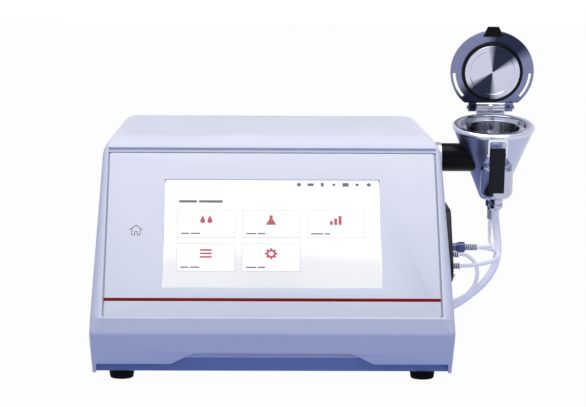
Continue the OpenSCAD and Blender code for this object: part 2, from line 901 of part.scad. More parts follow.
module cell_lid() {
    color("dimgray")
        block([cell_x[0] - 2, cell_y[0] - 2, cell_top], [cell_x[1] + 2, cell_y[1] + 2, cell_top + 5]);
}

module pump_bracket() {
    low_y = pump_at[0] - pump_half;
    high_y = pump_at[0] + pump_half;
    color("lightgray")
        difference() {
            union() {
                block([pump_x, low_y, floor_z], [pump_x + pump_plate_t, high_y, pump_at[1] + pump_half]);
                block([pump_x, low_y, floor_z], [pump_x + pump_head_w, high_y, floor_z + pump_plate_t]);
            }
            rod_x([pump_x - 1, pump_at[0], pump_at[1]], motor_boss_r, pump_plate_t + 2);
        }
}

module pump_motor() {
    color("dimgray")
        difference() {
            union() {
                rod_x([pump_x - motor_l, pump_at[0], pump_at[1]], motor_r, motor_l);
                rod_x([pump_x, pump_at[0], pump_at[1]], motor_boss_r, 2);
            }
            rod_x([pump_x - 9, pump_at[0], pump_at[1]], shaft_r + run, 12);
        }
}

module pump_head() {
    x0 = pump_x + pump_plate_t;
    color("ivory")
        difference() {
            block([x0, pump_at[0] - pump_half, floor_z + pump_plate_t],
                [x0 + pump_head_w, pump_at[0] + pump_half, pump_at[1] + pump_half]);
            rod_x([x0 + 2, pump_at[0], pump_at[1]], pump_bore_r, pump_head_w);
            rod_x([x0 - 1, pump_at[0], pump_at[1]], motor_boss_r, 4);
        }
}

module pump_rotor() {
    x0 = pump_x + pump_plate_t + 3;
    len = pump_head_w - 5;
    color("white") {
        rod_x([pump_x - 8, pump_at[0], pump_at[1]], shaft_r, pump_plate_t + 14);
        rod_x([x0, pump_at[0], pump_at[1]], 9, len);
        for (k = [0 : 2])
            translate([x0, pump_at[0], pump_at[1]])
                rotate([k * 120, 0, 0])
                    rod_x([0, roller_at, 0], roller_r, len);
    }
}

// Straight stretches of pipe with a ball at each corner.
module pipe_run(points, r) {
    for (i = [0 : len(points) - 2])
        let (d = points[i + 1] - points[i], flat = norm([d[0], d[1]]))
            translate(points[i])
                rotate([0, atan2(flat, d[2]), atan2(d[1], d[0])])
                    cylinder(r = r, h = norm(d));
    for (i = [1 : len(points) - 2])
        translate(points[i])
            sphere(r);
}

module internal_tubes() {
    color("azure") {
        for (p = inner_ports)
            rod_x([cell_x[1] - 5, p[0], p[1]], tube_r, stub_x - cell_x[1] + 5);
        for (k = [0, 1])
            let (p = low_ports[k], z = p[1], y = pump_at[0] + 10 * (k * 2 - 1))
                pipe_run([[stub_x, p[0], z], [stub_x - 5, p[0], z], [stub_x - 5, y, z],
                    [pump_x + pump_plate_t + pump_head_w, y, z]], tube_r);
    }
}

module arm_bracket() {
    color("lightgray")
        difference() {
            union() {
                block([bracket_x[0], bracket_y[0], floor_z],
                    [bracket_x[1], bracket_y[1], arm_z + arm_d / 2 + arm_wall]);
                block([bracket_x[0] - bracket_foot[0], bracket_y[0], floor_z],
                    [bracket_x[1], bracket_y[1], floor_z + bracket_foot[1]]);
            }
            rod_x([bracket_x[0] - 1, funnel_y, arm_z], arm_d / 2, bracket_t + 2);
            block([bracket_x[0] - 1, bracket_y[0] + bracket_margin, bracket_window_z[0]],
                [bracket_x[1] + 1, bracket_y[1] - bracket_margin, bracket_window_z[1]]);
        }
}

// ---- ports on the right side ----

module port_plate() {
    color("black")
        difference() {
            union() {
                difference() {
                    plate_prism(0, half_w - plate_root, plate_x);
                    body_form(0, foot_h);
                }
                plate_prism(plate_margin + fit, half_w - plate_plug, plate_x - fit);
            }
            for (p = inner_ports)
                rod_x([side_from, p[0], p[1]], stem_r, side_len);
            for (s = plate_screws)
                rod_x([side_from, s[0], s[1]], screw_r, side_len);
        }
}

module inlet_fitting() {
    color("lightsteelblue")
        union() {
            rod_x([stub_x, inlet_y, inlet_z], stem_r, inlet_end_x - stub_x);
            rod_x([plate_x, inlet_y, inlet_z], inlet_collar_r, collar_l - 1);
        }
}

// Knurled nut, turning on the fitting between its collar and its end.
module inlet_nut() {
    color("slateblue")
        difference() {
            union() {
                rod_x([fitting_x - 0.8, inlet_y, inlet_z], nut_d / 2 - 0.6, nut_l + 0.6);
                rod_x([fitting_x + 1.4, inlet_y, inlet_z], nut_d / 2, nut_l - 2);
            }
            rod_x([fitting_x - 2, inlet_y, inlet_z], stem_r + run, nut_l + 4);
            for (k = [0 : 11])
                translate([fitting_x + 1.4, inlet_y, inlet_z])
                    rotate([k * 30, 0, 0])
                        rod_x([-0.2, nut_d / 2 + 0.2, 0], 0.5, nut_l - 1.6);
        }
}

// A fitting from inside the wall to x1, thicker from x0 on.
module small_fitting(at, x0, x1, r) {
    rod_x([stub_x, at[0], at[1]], stem_r, x1 - stub_x);
    rod_x([x0, at[0], at[1]], r, x1 - x0 - 1.5);
}

module port_fittings() {
    color("lightsteelblue") {
        for (at = [bypass_at, loop_at, return_at])
            small_fitting(at, plate_x, small_port_x, small_port_r);
        low_fitting(low_ports[0], low_port_r + low_port_lip);
        low_fitting(low_ports[1], low_port_r);
    }
}

module low_fitting(at, r) {
    rod_x([stub_x, at[0], at[1]], low_port_r - fit, low_port_x - stub_x);
    difference() {
        rod_x([stub_x, at[0], at[1]], r, low_port_x - stub_x);
        body_form(0, foot_h);
    }
}

// ---- swept tubes and spring guards ----

function tangents(path) = let (last = len(path) - 1) [for (i = [0 : last])
    unit(path[min(i + 1, last)] - path[max(i - 1, 0)])];
function carried(t, i, n) = i == len(t) ? [] :
    let (m = unit(n - (n * t[i]) * t[i])) concat([m], carried(t, i + 1, m));
function ring(c, t, n, r, sides) = [for (k = [0 : sides - 1])
    c + r * (cos(360 * k / sides) * n + sin(360 * k / sides) * cross(t, n))];

// A tube of triangles along the path, closed at both ends.
module swept_tube(path, r, sides) {
    t = tangents(path);
    n = carried(t, 0, [0.36, 0.48, 0.8]);
    last = len(path) - 1;
    points = [for (i = [0 : last]) each ring(path[i], t[i], n[i], r, sides)];
    walls = [for (i = [0 : last - 1], k = [0 : sides - 1])
        let (a = i * sides + k, b = i * sides + (k + 1) % sides)
            each [[a, a + sides, b], [b, a + sides, b + sides]]];
    caps = [for (k = [1 : sides - 2])
        each [[0, k, k + 1], [last * sides, last * sides + k + 1, last * sides + k]]];
    polyhedron(points, concat(walls, caps));
}

spring_rings = 8;
spring_sides = 6;

// A guard spring's centre line along +Z: straight for one wire at each end, then its turns.
function spring_path(turns, len) =
    let (lead = 2 * spring_wire_r, rise = len - 2 * lead, steps = turns * spring_rings)
    concat([[spring_r, 0, 0]],
        [for (i = [0 : steps]) let (a = 360 * i / spring_rings)
            [spring_r * cos(a), spring_r * sin(a), lead + rise * i / steps]],
        [[spring_r, 0, len]]);

// Least gap between one turn and the next, measured on the points of the centre line.
function turn_gap(path) = min([for (i = [1 : len(path) - 2 - spring_rings])
    norm(path[i + spring_rings] - path[i])]) - 2 * spring_wire_r;

module guard_spring(turns, len) {
    swept_tube(spring_path(turns, len), spring_wire_r, spring_sides);
}

module inlet_spring_guard() {
    echo(inlet_spring_gap = turn_gap(spring_path(6, inlet_spring_l)));
    color("darkslateblue")
        translate([inlet_end_x, inlet_y, inlet_z])
            rotate([0, 90, 0])
                guard_spring(6, inlet_spring_l);
}

module port_spring_guards() {
    echo(port_spring_gap = turn_gap(spring_path(3, small_spring_l)));
    color("darkslateblue")
        for (at = [bypass_at, loop_at, return_at])
            translate([small_port_x, at[0], at[1]])
                rotate([0, 90, 0])
                    guard_spring(3, small_spring_l);
}

module outlet_spring_guard() {
    echo(outlet_spring_gap = turn_gap(spring_path(5, outlet_spring_l)));
    color("darkslateblue")
        on_funnel()
            translate([0, 0, -outlet_end])
                rotate([180, 0, 0])
                    guard_spring(5, outlet_spring_l);
}

// ---- funnel head ----
// Sizes here are in the funnel's own frame: origin at the middle of the rim's top, z up its axis.

funnel_z = body_h + funnel_rise;
arm_z = body_h - arm_drop;
arm_wall = 3;
arm_end_in = 8;       // the arm reaches this close to the cone's axis before it is cut
collar_root = 20;
rim_r = rim_d / 2;
mouth_r = mouth_d / 2;
cup_r = cup_d / 2;
tip_r = tip_d / 2;
cup_wall = 1;
cup_seat = 5;         // depth of the ledge that the cup hangs on
cup_flange_t = 1.5;
cup_l = 30;
rim_band = 4;
outlet_end = cone_l + 13.5;
outlet_spring_l = 11;
jet_down = 11;
jet_r = 2.4;
hinge_back = 40;
hinge_up = 7.5;
hinge_pin_r = hinge_pin_d / 2;
knuckle_r = 5;
bracket_half = 15;
knuckle_w = 8;
knuckle_gap = 0.5;
lid_gap = 0.5;        // between the closed lid and the rim
lid_r = lid_d / 2;
plug_r = plug_d / 2;
plug_t = 3.5;
plug_lip_t = 0.6;
seal_r = 1.5;
strike_reach = 48.3;

module on_funnel() {
    translate([funnel_x, funnel_y, funnel_z])
        rotate([funnel_tilt, 0, 0])
            children();
}

// The cone's outer form as a solid of revolution.
module cone_solid() {
    rotate_extrude()
        polygon([[0, 0], [rim_r - 2, 0], [rim_r, -1.8], [rim_r, -rim_band], [rim_r - 1.5, -rim_band - 1.5],
            [tip_r, -cone_l], [0, -cone_l]]);
}

module funnel_body() {
    color("silver")
        on_funnel()
            difference() {
                cone_solid();
                rotate_extrude()
                    polygon([[0, 1], [mouth_r, 1], [mouth_r, -cup_seat], [cup_r + cup_wall + fit, -cup_seat],
                        [cup_r + cup_wall + fit, -cup_seat - cup_l - 1], [cup_r - 5, -cup_seat - cup_l - 3],
                        [4, -cone_l + 10], [0, -cone_l + 10]]);
                rod_z([0, 0, -cone_l - 1], 2.5, 15);
                rod_y([0, cup_r, -jet_down], jet_r, 8);
            }
}

module funnel_cup() {
    outer = cup_r + cup_wall;
    color("white")
        on_funnel()
            difference() {
                rotate_extrude()
                    polygon([[cup_r, -cup_seat + cup_flange_t], [mouth_r - fit, -cup_seat + cup_flange_t],
                        [mouth_r - fit, -cup_seat], [outer, -cup_seat], [outer, -cup_seat - cup_l],
                        [cup_r - 6, -cup_seat - cup_l], [cup_r - 6, -cup_seat - cup_l + cup_wall],
                        [cup_r, -cup_seat - cup_l + cup_wall]]);
                rod_y([0, cup_r - 4, -jet_down], jet_r + fit, 8);
            }
}

module rinse_jet() {
    color("dimgray")
        on_funnel()
            difference() {
                rod_y([0, cup_r - 2, -jet_down], jet_r, 9);
                rod_y([0, cup_r - 3, -jet_down], 1, 7);
            }
}

module hinge_bracket() {
    color("silver")
        on_funnel()
            difference() {
                union() {
                    block([-bracket_half, hinge_back - knuckle_r, 0],
                        [bracket_half, hinge_back + knuckle_r - 2, hinge_up]);
                    rod_x([-bracket_half, hinge_back, hinge_up], knuckle_r, 2 * bracket_half);
                }
                rod_x([-bracket_half - 1, hinge_back, hinge_up], hinge_pin_r, 2 * bracket_half + 2);
                block([-2, hinge_back - 10, hinge_up - 3], [2, hinge_back + 10, hinge_up + 10]);
            }
}

module hinge_pin() {
    half = bracket_half + knuckle_gap + knuckle_w + 1;
    color("silver")
        on_funnel() {
            rod_x([-half, hinge_back, hinge_up], hinge_pin_r, 2 * half);
            for (side = [-1, 1])
                rod_x([side < 0 ? -half - 1 : half, hinge_back, hinge_up], hinge_pin_r + 1, 1);
        }
}

// Children placed on the open lid: z is the lid's own axis, pointing to the user from its underside.
module on_open_lid() {
    on_funnel()
        translate([0, hinge_back - hinge_up + lid_gap, hinge_up + hinge_back])
            rotate([90, 0, 0])
                children();
}

module lid_slot(from, to) {
    rotate([0, 0, from])
        rotate_extrude(angle = to - from)
            translate([lid_r - 5.5, -lid_t - 1])
                square([3, lid_t + 2]);
}

module lid() {
    color("silver")
        difference() {
            union() {
                on_open_lid()
                    difference() {
                        rod_z([0, 0, -lid_t], lid_r, lid_t);
                        strike_prism(1);
                        block([-lid_r, -lid_r - 1, -lid_t - 1], [lid_r, -hinge_back + knuckle_r + 1.5, 1]);
                        lid_slot(182, 222);
                        lid_slot(318, 358);
                    }
                on_funnel()
                    for (side = [-1, 1])
                        lid_knuckle(side);
            }
            on_funnel()
                rod_x([-lid_r, hinge_back, hinge_up], hinge_pin_r + run, 2 * lid_r);
        }
}

// The strike's outline through the lid's plate, longer by extra at both faces.
module strike_prism(extra) {
    translate([0, 0, -lid_t - extra])
        linear_extrude(lid_t + 2 * extra)
            polygon(strike_pts);
}

// One knuckle and the arm that joins it to the lid's plate.
module lid_knuckle(side) {
    x0 = side > 0 ? bracket_half + knuckle_gap : -bracket_half - knuckle_gap - knuckle_w;
    face_y = hinge_back - hinge_up + lid_gap;
    rod_x([x0, hinge_back, hinge_up], knuckle_r, knuckle_w);
    block([x0, face_y, hinge_up], [x0 + knuckle_w, face_y + lid_t, hinge_up + knuckle_r + 3]);
    block([x0, face_y, hinge_up], [x0 + knuckle_w, hinge_back + 2, hinge_up + 3]);
}

module lid_plug() {
    lip = plug_r + seal_r;
    color("silver")
        on_open_lid()
            rotate_extrude()
                polygon([[0, 0], [lip, 0], [lip, plug_lip_t], [plug_r, plug_lip_t], [plug_r, plug_t - 0.6],
                    [plug_r - 1, plug_t], [plug_r - 6, plug_t], [plug_r - 7, plug_t - 1], [0, plug_t - 1]]);
}

module lid_seal() {
    color("black")
        on_open_lid()
            translate([0, 0, plug_lip_t + seal_r])
                rotate_extrude()
                    intersection() {
                        translate([plug_r + 0.8, 0])
                            circle(seal_r);
                        translate([plug_r, -seal_r])
                            square(2 * seal_r);
                    }
}

strike_pts = [[-11, lid_r - 6], [11, lid_r - 6], [6, strike_reach], [-6, strike_reach]];

// The black tab that the bail hooks over, let into the lid's plate.
module lid_strike() {
    color("black")
        on_open_lid()
            strike_prism(0);
}

// ---- latch ----

latch_y = -46;        // lever's pivot
latch_z = -15.5;
latch_pin_r = 1.5;
eye_r = 3.2;
bail_y = latch_y - 1;
bail_z = latch_z - 5;
bail_pin_r = 1.2;
plate_front = latch_y - 5;
plate_back = latch_y - 3.5;
bracket_w = 12;
lever_top = latch_z + 4;
flange_t = 1.6;
flange_front = plate_front + 0.7;
bail_eye_r = 2.6;
bail_w = 20.6;
bail_t = 2;
bail_bar_z = -3;
bail_front = plate_front - 0.5;

module latch_bracket() {
    color("silver")
        on_funnel()
            difference() {
                union() {
                    block([-bracket_w / 2, latch_y, latch_z - eye_r], [bracket_w / 2, -24, latch_z + eye_r]);
                    rod_x([-bracket_w / 2, latch_y, latch_z], eye_r, bracket_w);
                }
                cone_solid();
                rod_x([-bracket_w, latch_y, latch_z], latch_pin_r, 2 * bracket_w);
            }
}

module latch_pin() {
    color("silver")
        on_funnel()
            rod_x([-lever_w / 2, latch_y, latch_z], latch_pin_r, lever_w);
}

module latch_lever() {
    half = lever_w / 2;
    lever_low = lever_top - lever_l;
    color("black")
        on_funnel()
            difference() {
                union() {
                    block([-half, plate_front, lever_low], [half, plate_back, lever_top - 5.5]);
                    block([-half + flange_t, plate_front, lever_low],
                        [half - flange_t, plate_back, lever_top]);
                    for (side = [0, 1])
                        mirror([side, 0, 0])
                            lever_flange(half - flange_t, lever_low);
                }
                rod_x([-lever_w, latch_y, latch_z], latch_pin_r + run, 2 * lever_w);
                rod_x([-lever_w, bail_y, bail_z], bail_pin_r + run, 2 * lever_w);
            }
}

// A side flange of the lever, deep round the pivots and shallow down its length.
module lever_flange(x0, lever_low) {
    block([x0, flange_front, lever_low], [x0 + flange_t, plate_back + 1.8, latch_z]);
    block([x0, flange_front, bail_z - 3], [x0 + flange_t, latch_y, lever_top - 1]);
    rod_x([x0, latch_y, latch_z], eye_r, flange_t);
    rod_x([x0, bail_y, bail_z], bail_eye_r, flange_t);
}

module latch_bail() {
    half = bail_w / 2;
    color("silver")
        on_funnel() {
            block([-half, bail_front, bail_bar_z - 2], [half, bail_front + 3, bail_bar_z + 2]);
            for (side = [0, 1])
                mirror([side, 0, 0])
                    bail_arm(half);
        }
}

module bail_arm(half) {
    rod_x([half - bail_t, bail_y, bail_z], bail_eye_r, bail_t);
    block([half - bail_t, bail_front, bail_z], [half, bail_y + bail_eye_r, bail_bar_z + 2]);
    rod_x([lever_w / 2 - 3, bail_y, bail_z], bail_pin_r, half - lever_w / 2 + 3);
}

// ---- drain, arm and outlet ----

drain_x = 2;
drain_y = -30;
drain_top = -34.5;
drain_round = 4;
drain_r = drain_d / 2;
neck_r = 7.5;

module drain_block() {
    low = drain_top - drain_l;
    soft = 1.2;
    face_r = drain_r - drain_round;
    color("silver")
        on_funnel()
            difference() {
                translate([drain_x, drain_y, 0])
                    rotate_extrude()
                        polygon([[0, drain_top], [face_r, drain_top], [drain_r - soft, drain_top - soft],
                            [drain_r, drain_top - drain_round], [drain_r, low + drain_round],
                            [drain_r - soft, low + soft], [face_r, low], [neck_r, low], [neck_r, low - 5],
                            [neck_r - 1.5, low - 5], [neck_r - 1.5, low - 7.5], [neck_r, low - 7.5],
                            [neck_r, low - 11], [neck_r - 2.5, low - 14], [0, low - 14]]);
                cone_solid();
            }
}

module arm_collar() {
    color("lightgray")
        difference() {
            rod_x([half_w - collar_root, funnel_y, arm_z], arm_d / 2 + arm_wall, collar_root);
            rod_x([half_w - collar_root - 1, funnel_y, arm_z], arm_d / 2, collar_root + 2);
            body_form(0, foot_h);
        }
}

module arm_tube() {
    color("black")
        difference() {
            rod_x([bracket_x[0], funnel_y, arm_z], arm_d / 2, funnel_x - bracket_x[0] - arm_end_in);
            rod_x([bracket_x[0] - 1, funnel_y, arm_z], arm_d / 2 - arm_wall,
                funnel_x - rim_r - bracket_x[0]);
            on_funnel()
                cone_solid();
        }
}

module outlet_fitting() {
    color("darkslategray")
        on_funnel() {
            rod_z([0, 0, -cone_l - 9.5], 5.5, 9.5);
            rod_z([0, 0, -outlet_end], 3.6, 4);
        }
}

// ---- free tubes ----

tube_sides = 8;

module sample_tube() {
    color("azure")
        swept_tube([[232, 21.5, 144.6], [232, 23.5, 134], [232, 24.6, 127], [231.6, 22.6, 121],
            [231, 16, 117], [230.2, 6, 115.5], [229.2, -6, 114.8], [228.3, -18, 114.5],
            [228, -32, 114.5], [225.9, -42, 114.5], [220, -47.9, 114.5], [212, -50, 114.5],
            [199, -50, 114.5]], tube_r, tube_sides);
}

module loop_tube() {
    color("azure")
        swept_tube([[187.5, -50, 95], [198, -50, 95], [207, -49.7, 95.6], [215, -48.8, 96.6],
            [223, -46.8, 98], [230, -43, 100.2], [234.3, -38, 102.8], [235.3, -32, 105],
            [232.5, -26.5, 107], [226.5, -23.5, 108.6], [218, -22.3, 110], [208, -22, 111],
            [198, -22, 111.2], [187.5, -22, 111.2]], tube_r, tube_sides);
}

module vent_tube() {
    color("azure")
        swept_tube([[187.5, -34, 104.5], [198, -34, 104.5], [204, -34.8, 102.8], [209.8, -36.5, 97.5],
            [212.8, -38.5, 91], [213.1, -40.5, 83.5], [210.2, -42.5, 73.8], [203.5, -44.5, 65.5],
            [196, -45.6, 60.4], [190, -46, 58], [184, -46, 58]], tube_r, tube_sides);
}

module waste_hose() {
    color("azure")
        swept_tube([[234, -9.7, 148.4], [234.2, -8.2, 140.5], [235, -9, 131], [236, -13, 121],
            [236.3, -17.5, 111], [235.2, -21.5, 100], [231.8, -25, 89.5], [226.3, -28, 80.5],
            [219, -30, 72], [210.5, -31, 64.6], [201, -31.7, 57.4], [193.5, -32, 52.4], [188, -32, 50],
            [184, -32, 50]], hose_d / 2, tube_sides);
}

in_frame() housing_shell();
in_frame() base_pan();
in_frame() rear_panel();
in_frame() front_panel();
in_frame() trim_strip();
in_frame() display_glass();
in_frame() lcd_module();
in_frame() display_board();
in_frame() rubber_feet();
in_frame() machine_screws();
in_frame() mains_inlet();
in_frame() power_switch();
in_frame() power_rocker();
in_frame() socket_plate();
in_frame() data_ports();
in_frame() fan_guard();
in_frame() fan_frame();
in_frame() fan_rotor();
in_frame() power_supply();
in_frame() main_board();
in_frame() board_standoffs();
in_frame() heat_sink();
in_frame() peltier_pair();
in_frame() cell_block();
in_frame() u_tube();
in_frame() cell_lid();
in_frame() pump_bracket();
in_frame() pump_motor();
in_frame() pump_head();
in_frame() pump_rotor();
in_frame() internal_tubes();
in_frame() arm_bracket();
in_frame() port_plate();
in_frame() inlet_fitting();
in_frame() inlet_nut();
in_frame() inlet_spring_guard();
in_frame() port_fittings();
in_frame() port_spring_guards();
in_frame() arm_collar();
in_frame() arm_tube();
in_frame() funnel_body();
in_frame() funnel_cup();
in_frame() rinse_jet();
in_frame() hinge_bracket();
in_frame() hinge_pin();
in_frame() lid();
in_frame() lid_plug();
in_frame() lid_seal();
in_frame() lid_strike();
in_frame() latch_bracket();
in_frame() latch_pin();
in_frame() latch_lever();
in_frame() latch_bail();
in_frame() drain_block();
in_frame() outlet_fitting();
in_frame() outlet_spring_guard();
in_frame() sample_tube();
in_frame() loop_tube();
in_frame() vent_tube();
in_frame() waste_hose();
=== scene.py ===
"""A benchtop density meter, dressed in Blender: slanted housing with a touch screen, and a lidded filling
funnel on an arm at its right side. Lengths in this file are millimetres unless a line says metres, and places
are measured from the middle of the housing, which stands at -MIDDLE_X, -MIDDLE_Y in the frame."""
from math import atan2, cos, exp, log, pi, radians, sin, tan

import bmesh
import bpy
from mathutils import Matrix, Vector


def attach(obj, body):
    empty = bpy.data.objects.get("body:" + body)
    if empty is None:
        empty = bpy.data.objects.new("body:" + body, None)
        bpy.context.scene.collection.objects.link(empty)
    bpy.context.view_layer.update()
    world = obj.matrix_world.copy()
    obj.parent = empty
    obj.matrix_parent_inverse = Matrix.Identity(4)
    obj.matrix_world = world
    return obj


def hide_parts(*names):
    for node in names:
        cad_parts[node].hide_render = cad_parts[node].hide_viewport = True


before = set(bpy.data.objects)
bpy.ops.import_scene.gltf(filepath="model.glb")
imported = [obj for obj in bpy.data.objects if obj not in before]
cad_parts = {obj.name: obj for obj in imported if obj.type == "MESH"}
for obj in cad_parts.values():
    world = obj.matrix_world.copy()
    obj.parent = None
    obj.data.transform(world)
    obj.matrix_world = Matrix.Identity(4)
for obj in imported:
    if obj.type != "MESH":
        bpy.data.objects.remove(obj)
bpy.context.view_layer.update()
scene = bpy.context.scene
MM = 0.001
BASE = "base"
MIDDLE_X, MIDDLE_Y = 48.0, 3.5
HOME = Matrix.Translation((-MIDDLE_X, -MIDDLE_Y, 0))

# ---- the camera ----

EYE = Vector((-21.0, -2440.4, 478.1))
EYE_DOWN, EYE_YAW, EYE_ROLL = radians(7.599), radians(1.02), radians(0.35)
FOCAL_PX, PICTURE_W, SENSOR = 2350, 586, 36


def place_camera():
    ahead = Vector((sin(EYE_YAW) * cos(EYE_DOWN), cos(EYE_YAW) * cos(EYE_DOWN), -sin(EYE_DOWN)))
    level = Vector((cos(EYE_YAW), -sin(EYE_YAW), 0))
    upright = level.cross(ahead)
    right = level * cos(EYE_ROLL) + upright * sin(EYE_ROLL)
    up = upright * cos(EYE_ROLL) - level * sin(EYE_ROLL)
    camera = bpy.data.objects.new("camera", bpy.data.cameras.new("camera"))
    scene.collection.objects.link(camera)
    turn = Matrix((right, up, -ahead)).transposed().to_4x4()
    camera.matrix_world = Matrix.Translation((HOME @ EYE) * MM) @ turn
    camera.data.sensor_width = SENSOR
    camera.data.lens = FOCAL_PX * SENSOR / PICTURE_W
    camera.data.clip_start, camera.data.clip_end = 0.1, 50
    scene.camera = camera


place_camera()

# ---- places that the pieces share ----

BODY_D, BODY_H, WALL = 384, 228, 3
HALF_W, FRONT_Y, REAR_Y = 180, -192, 192
TILT = radians(40)
SLOPE_Z, FOLD_Z, CHIN_BACK, CHIN_Z = 50, 48, 7, 17.5
FOLD_Y = FRONT_Y + 7
CHIN_LIP = 3
GRIP_HALF, GRIP_H, CHEEK_FOOT = 77.5, 11, 5
FOOT_H, FOOT_D = 8.5, 25
TOP_NARROW, REAR_NARROW, SIDE_TUCK = 4, 9, 3
PANEL_W, PANEL_L, PANEL_T, PANEL_UP, PANEL_IN, PANEL_GAP = 331.5, 192.5, 3, 20, 2, 1.1
SCREEN_W, SCREEN_L, SCREEN_UP = 217.5, 128, 116.5
LIP_UP = 217.5
PAN_FRONT = -168
REAR_OPEN_HALF, REAR_OPEN_TOP = 144, 196
FEET = [(x * 148.5, y * 158) for x in (-1, 1) for y in (-1, 1)]
ARM_Z, ARM_D, ARM_START = 201.5, 29.5, 150
FUNNEL = (232, 4.5, 236.5)
FUNNEL_TILT = radians(10.5)
RIM_R, MOUTH_R, CUP_R, TIP_R, CONE_L = 43, 34, 27, 12.5, 80
HINGE_BACK, HINGE_UP, HINGE_HALF, HINGE_R = 40, 7.5, 15, 5
LID_R, LID_T, LID_FLAT, TAB_TOP = 44, 4, 33.5, 48.3
INLET_Y, INLET_Z, PLATE_X, PLATE_ROUND = -50, 114.5, 181.5, 14
INSIDE_X, STEM_X, STEM_R = HALF_W - 30, 165.5, 3
PORTS = [(-34, 104.5), (-50, 95), (-22, 111.2)]
LOW_PORTS = [(-32, 50), (-46, 58)]
NUT_X, NUT_L, NUT_R = 190.5, 8.5, 5.5
LEVER_W, LEVER_L = 16, 48.5
LATCH_Y, LATCH_Z = -46, -15.5
JET_Z = -11


def at(x, y, z):
    return Matrix.Translation((x, y, z))


AROUND = Matrix()
ALONG_X = Matrix.Rotation(pi / 2, 4, "Y")
ALONG_Y = Matrix.Rotation(-pi / 2, 4, "X")
SIDEWAYS = Matrix(((0, 0, 1, 0), (1, 0, 0, 0), (0, 1, 0, 0), (0, 0, 0, 1)))   # outline (y, z), then along X
UPRIGHT = Matrix(((1, 0, 0, 0), (0, 0, -1, 0), (0, 1, 0, 0), (0, 0, 0, 1)))   # outline (x, z), then to -Y
ON_FRONT = at(0, FRONT_Y, SLOPE_Z) @ Matrix.Rotation(pi / 2 - TILT, 4, "X")
ON_FUNNEL = at(*FUNNEL) @ Matrix.Rotation(FUNNEL_TILT, 4, "X")
ON_LID = (ON_FUNNEL @ at(0, HINGE_BACK - HINGE_UP + 0.5, HINGE_UP + HINGE_BACK)
          @ Matrix.Rotation(pi / 2, 4, "X"))
ON_DRAIN = ON_FUNNEL @ at(2, -30, -34.5)
HINGE_LINE = ON_FUNNEL @ at(0, HINGE_BACK, HINGE_UP) @ ALONG_X
LATCH_LINE = ON_FUNNEL @ at(0, LATCH_Y, LATCH_Z) @ ALONG_X
ARM_LINE = at(0, FUNNEL[1], ARM_Z) @ ALONG_X

# ---- node trees ----


class Graph:
    """The nodes of one tree."""

    def __init__(self, tree):
        self.tree = tree
        tree.nodes.clear()

    def node(self, kind, inputs=None, **settings):
        """A node with its settings; each input takes a value, or a link from a socket."""
        made = self.tree.nodes.new(kind)
        for key, value in settings.items():
            setattr(made, key, value)
        for key, value in (inputs or {}).items():
            if isinstance(value, bpy.types.NodeSocket):
                self.tree.links.new(value, made.inputs[key])
            else:
                made.inputs[key].default_value = value
        return made

    def first(self, kind, inputs=None, **settings):
        """The first output of such a node."""
        return self.node(kind, inputs, **settings).outputs[0]

    def math(self, operation, *inputs):
        return self.first("ShaderNodeMath", dict(enumerate(inputs)), operation=operation)


# ---- finishes ----

# where the painted highlight wedges of turned faces turn, and where their painted dark ends
SHEEN_TURN, SHEEN_START, SHEEN_END = radians(146), 0.14, 0.42
NOISE_LOW, NOISE_HIGH = 0.3, 0.7
LATHE_MARKS = 0.6


def tone(red, green, blue):
    """A linear colour from screen values, 0 to 255."""
    def linear(v):
        v = v / 255
        return v / 12.92 if v <= 0.04045 else ((v + 0.055) / 1.055) ** 2.4
    return linear(red), linear(green), linear(blue), 1.0


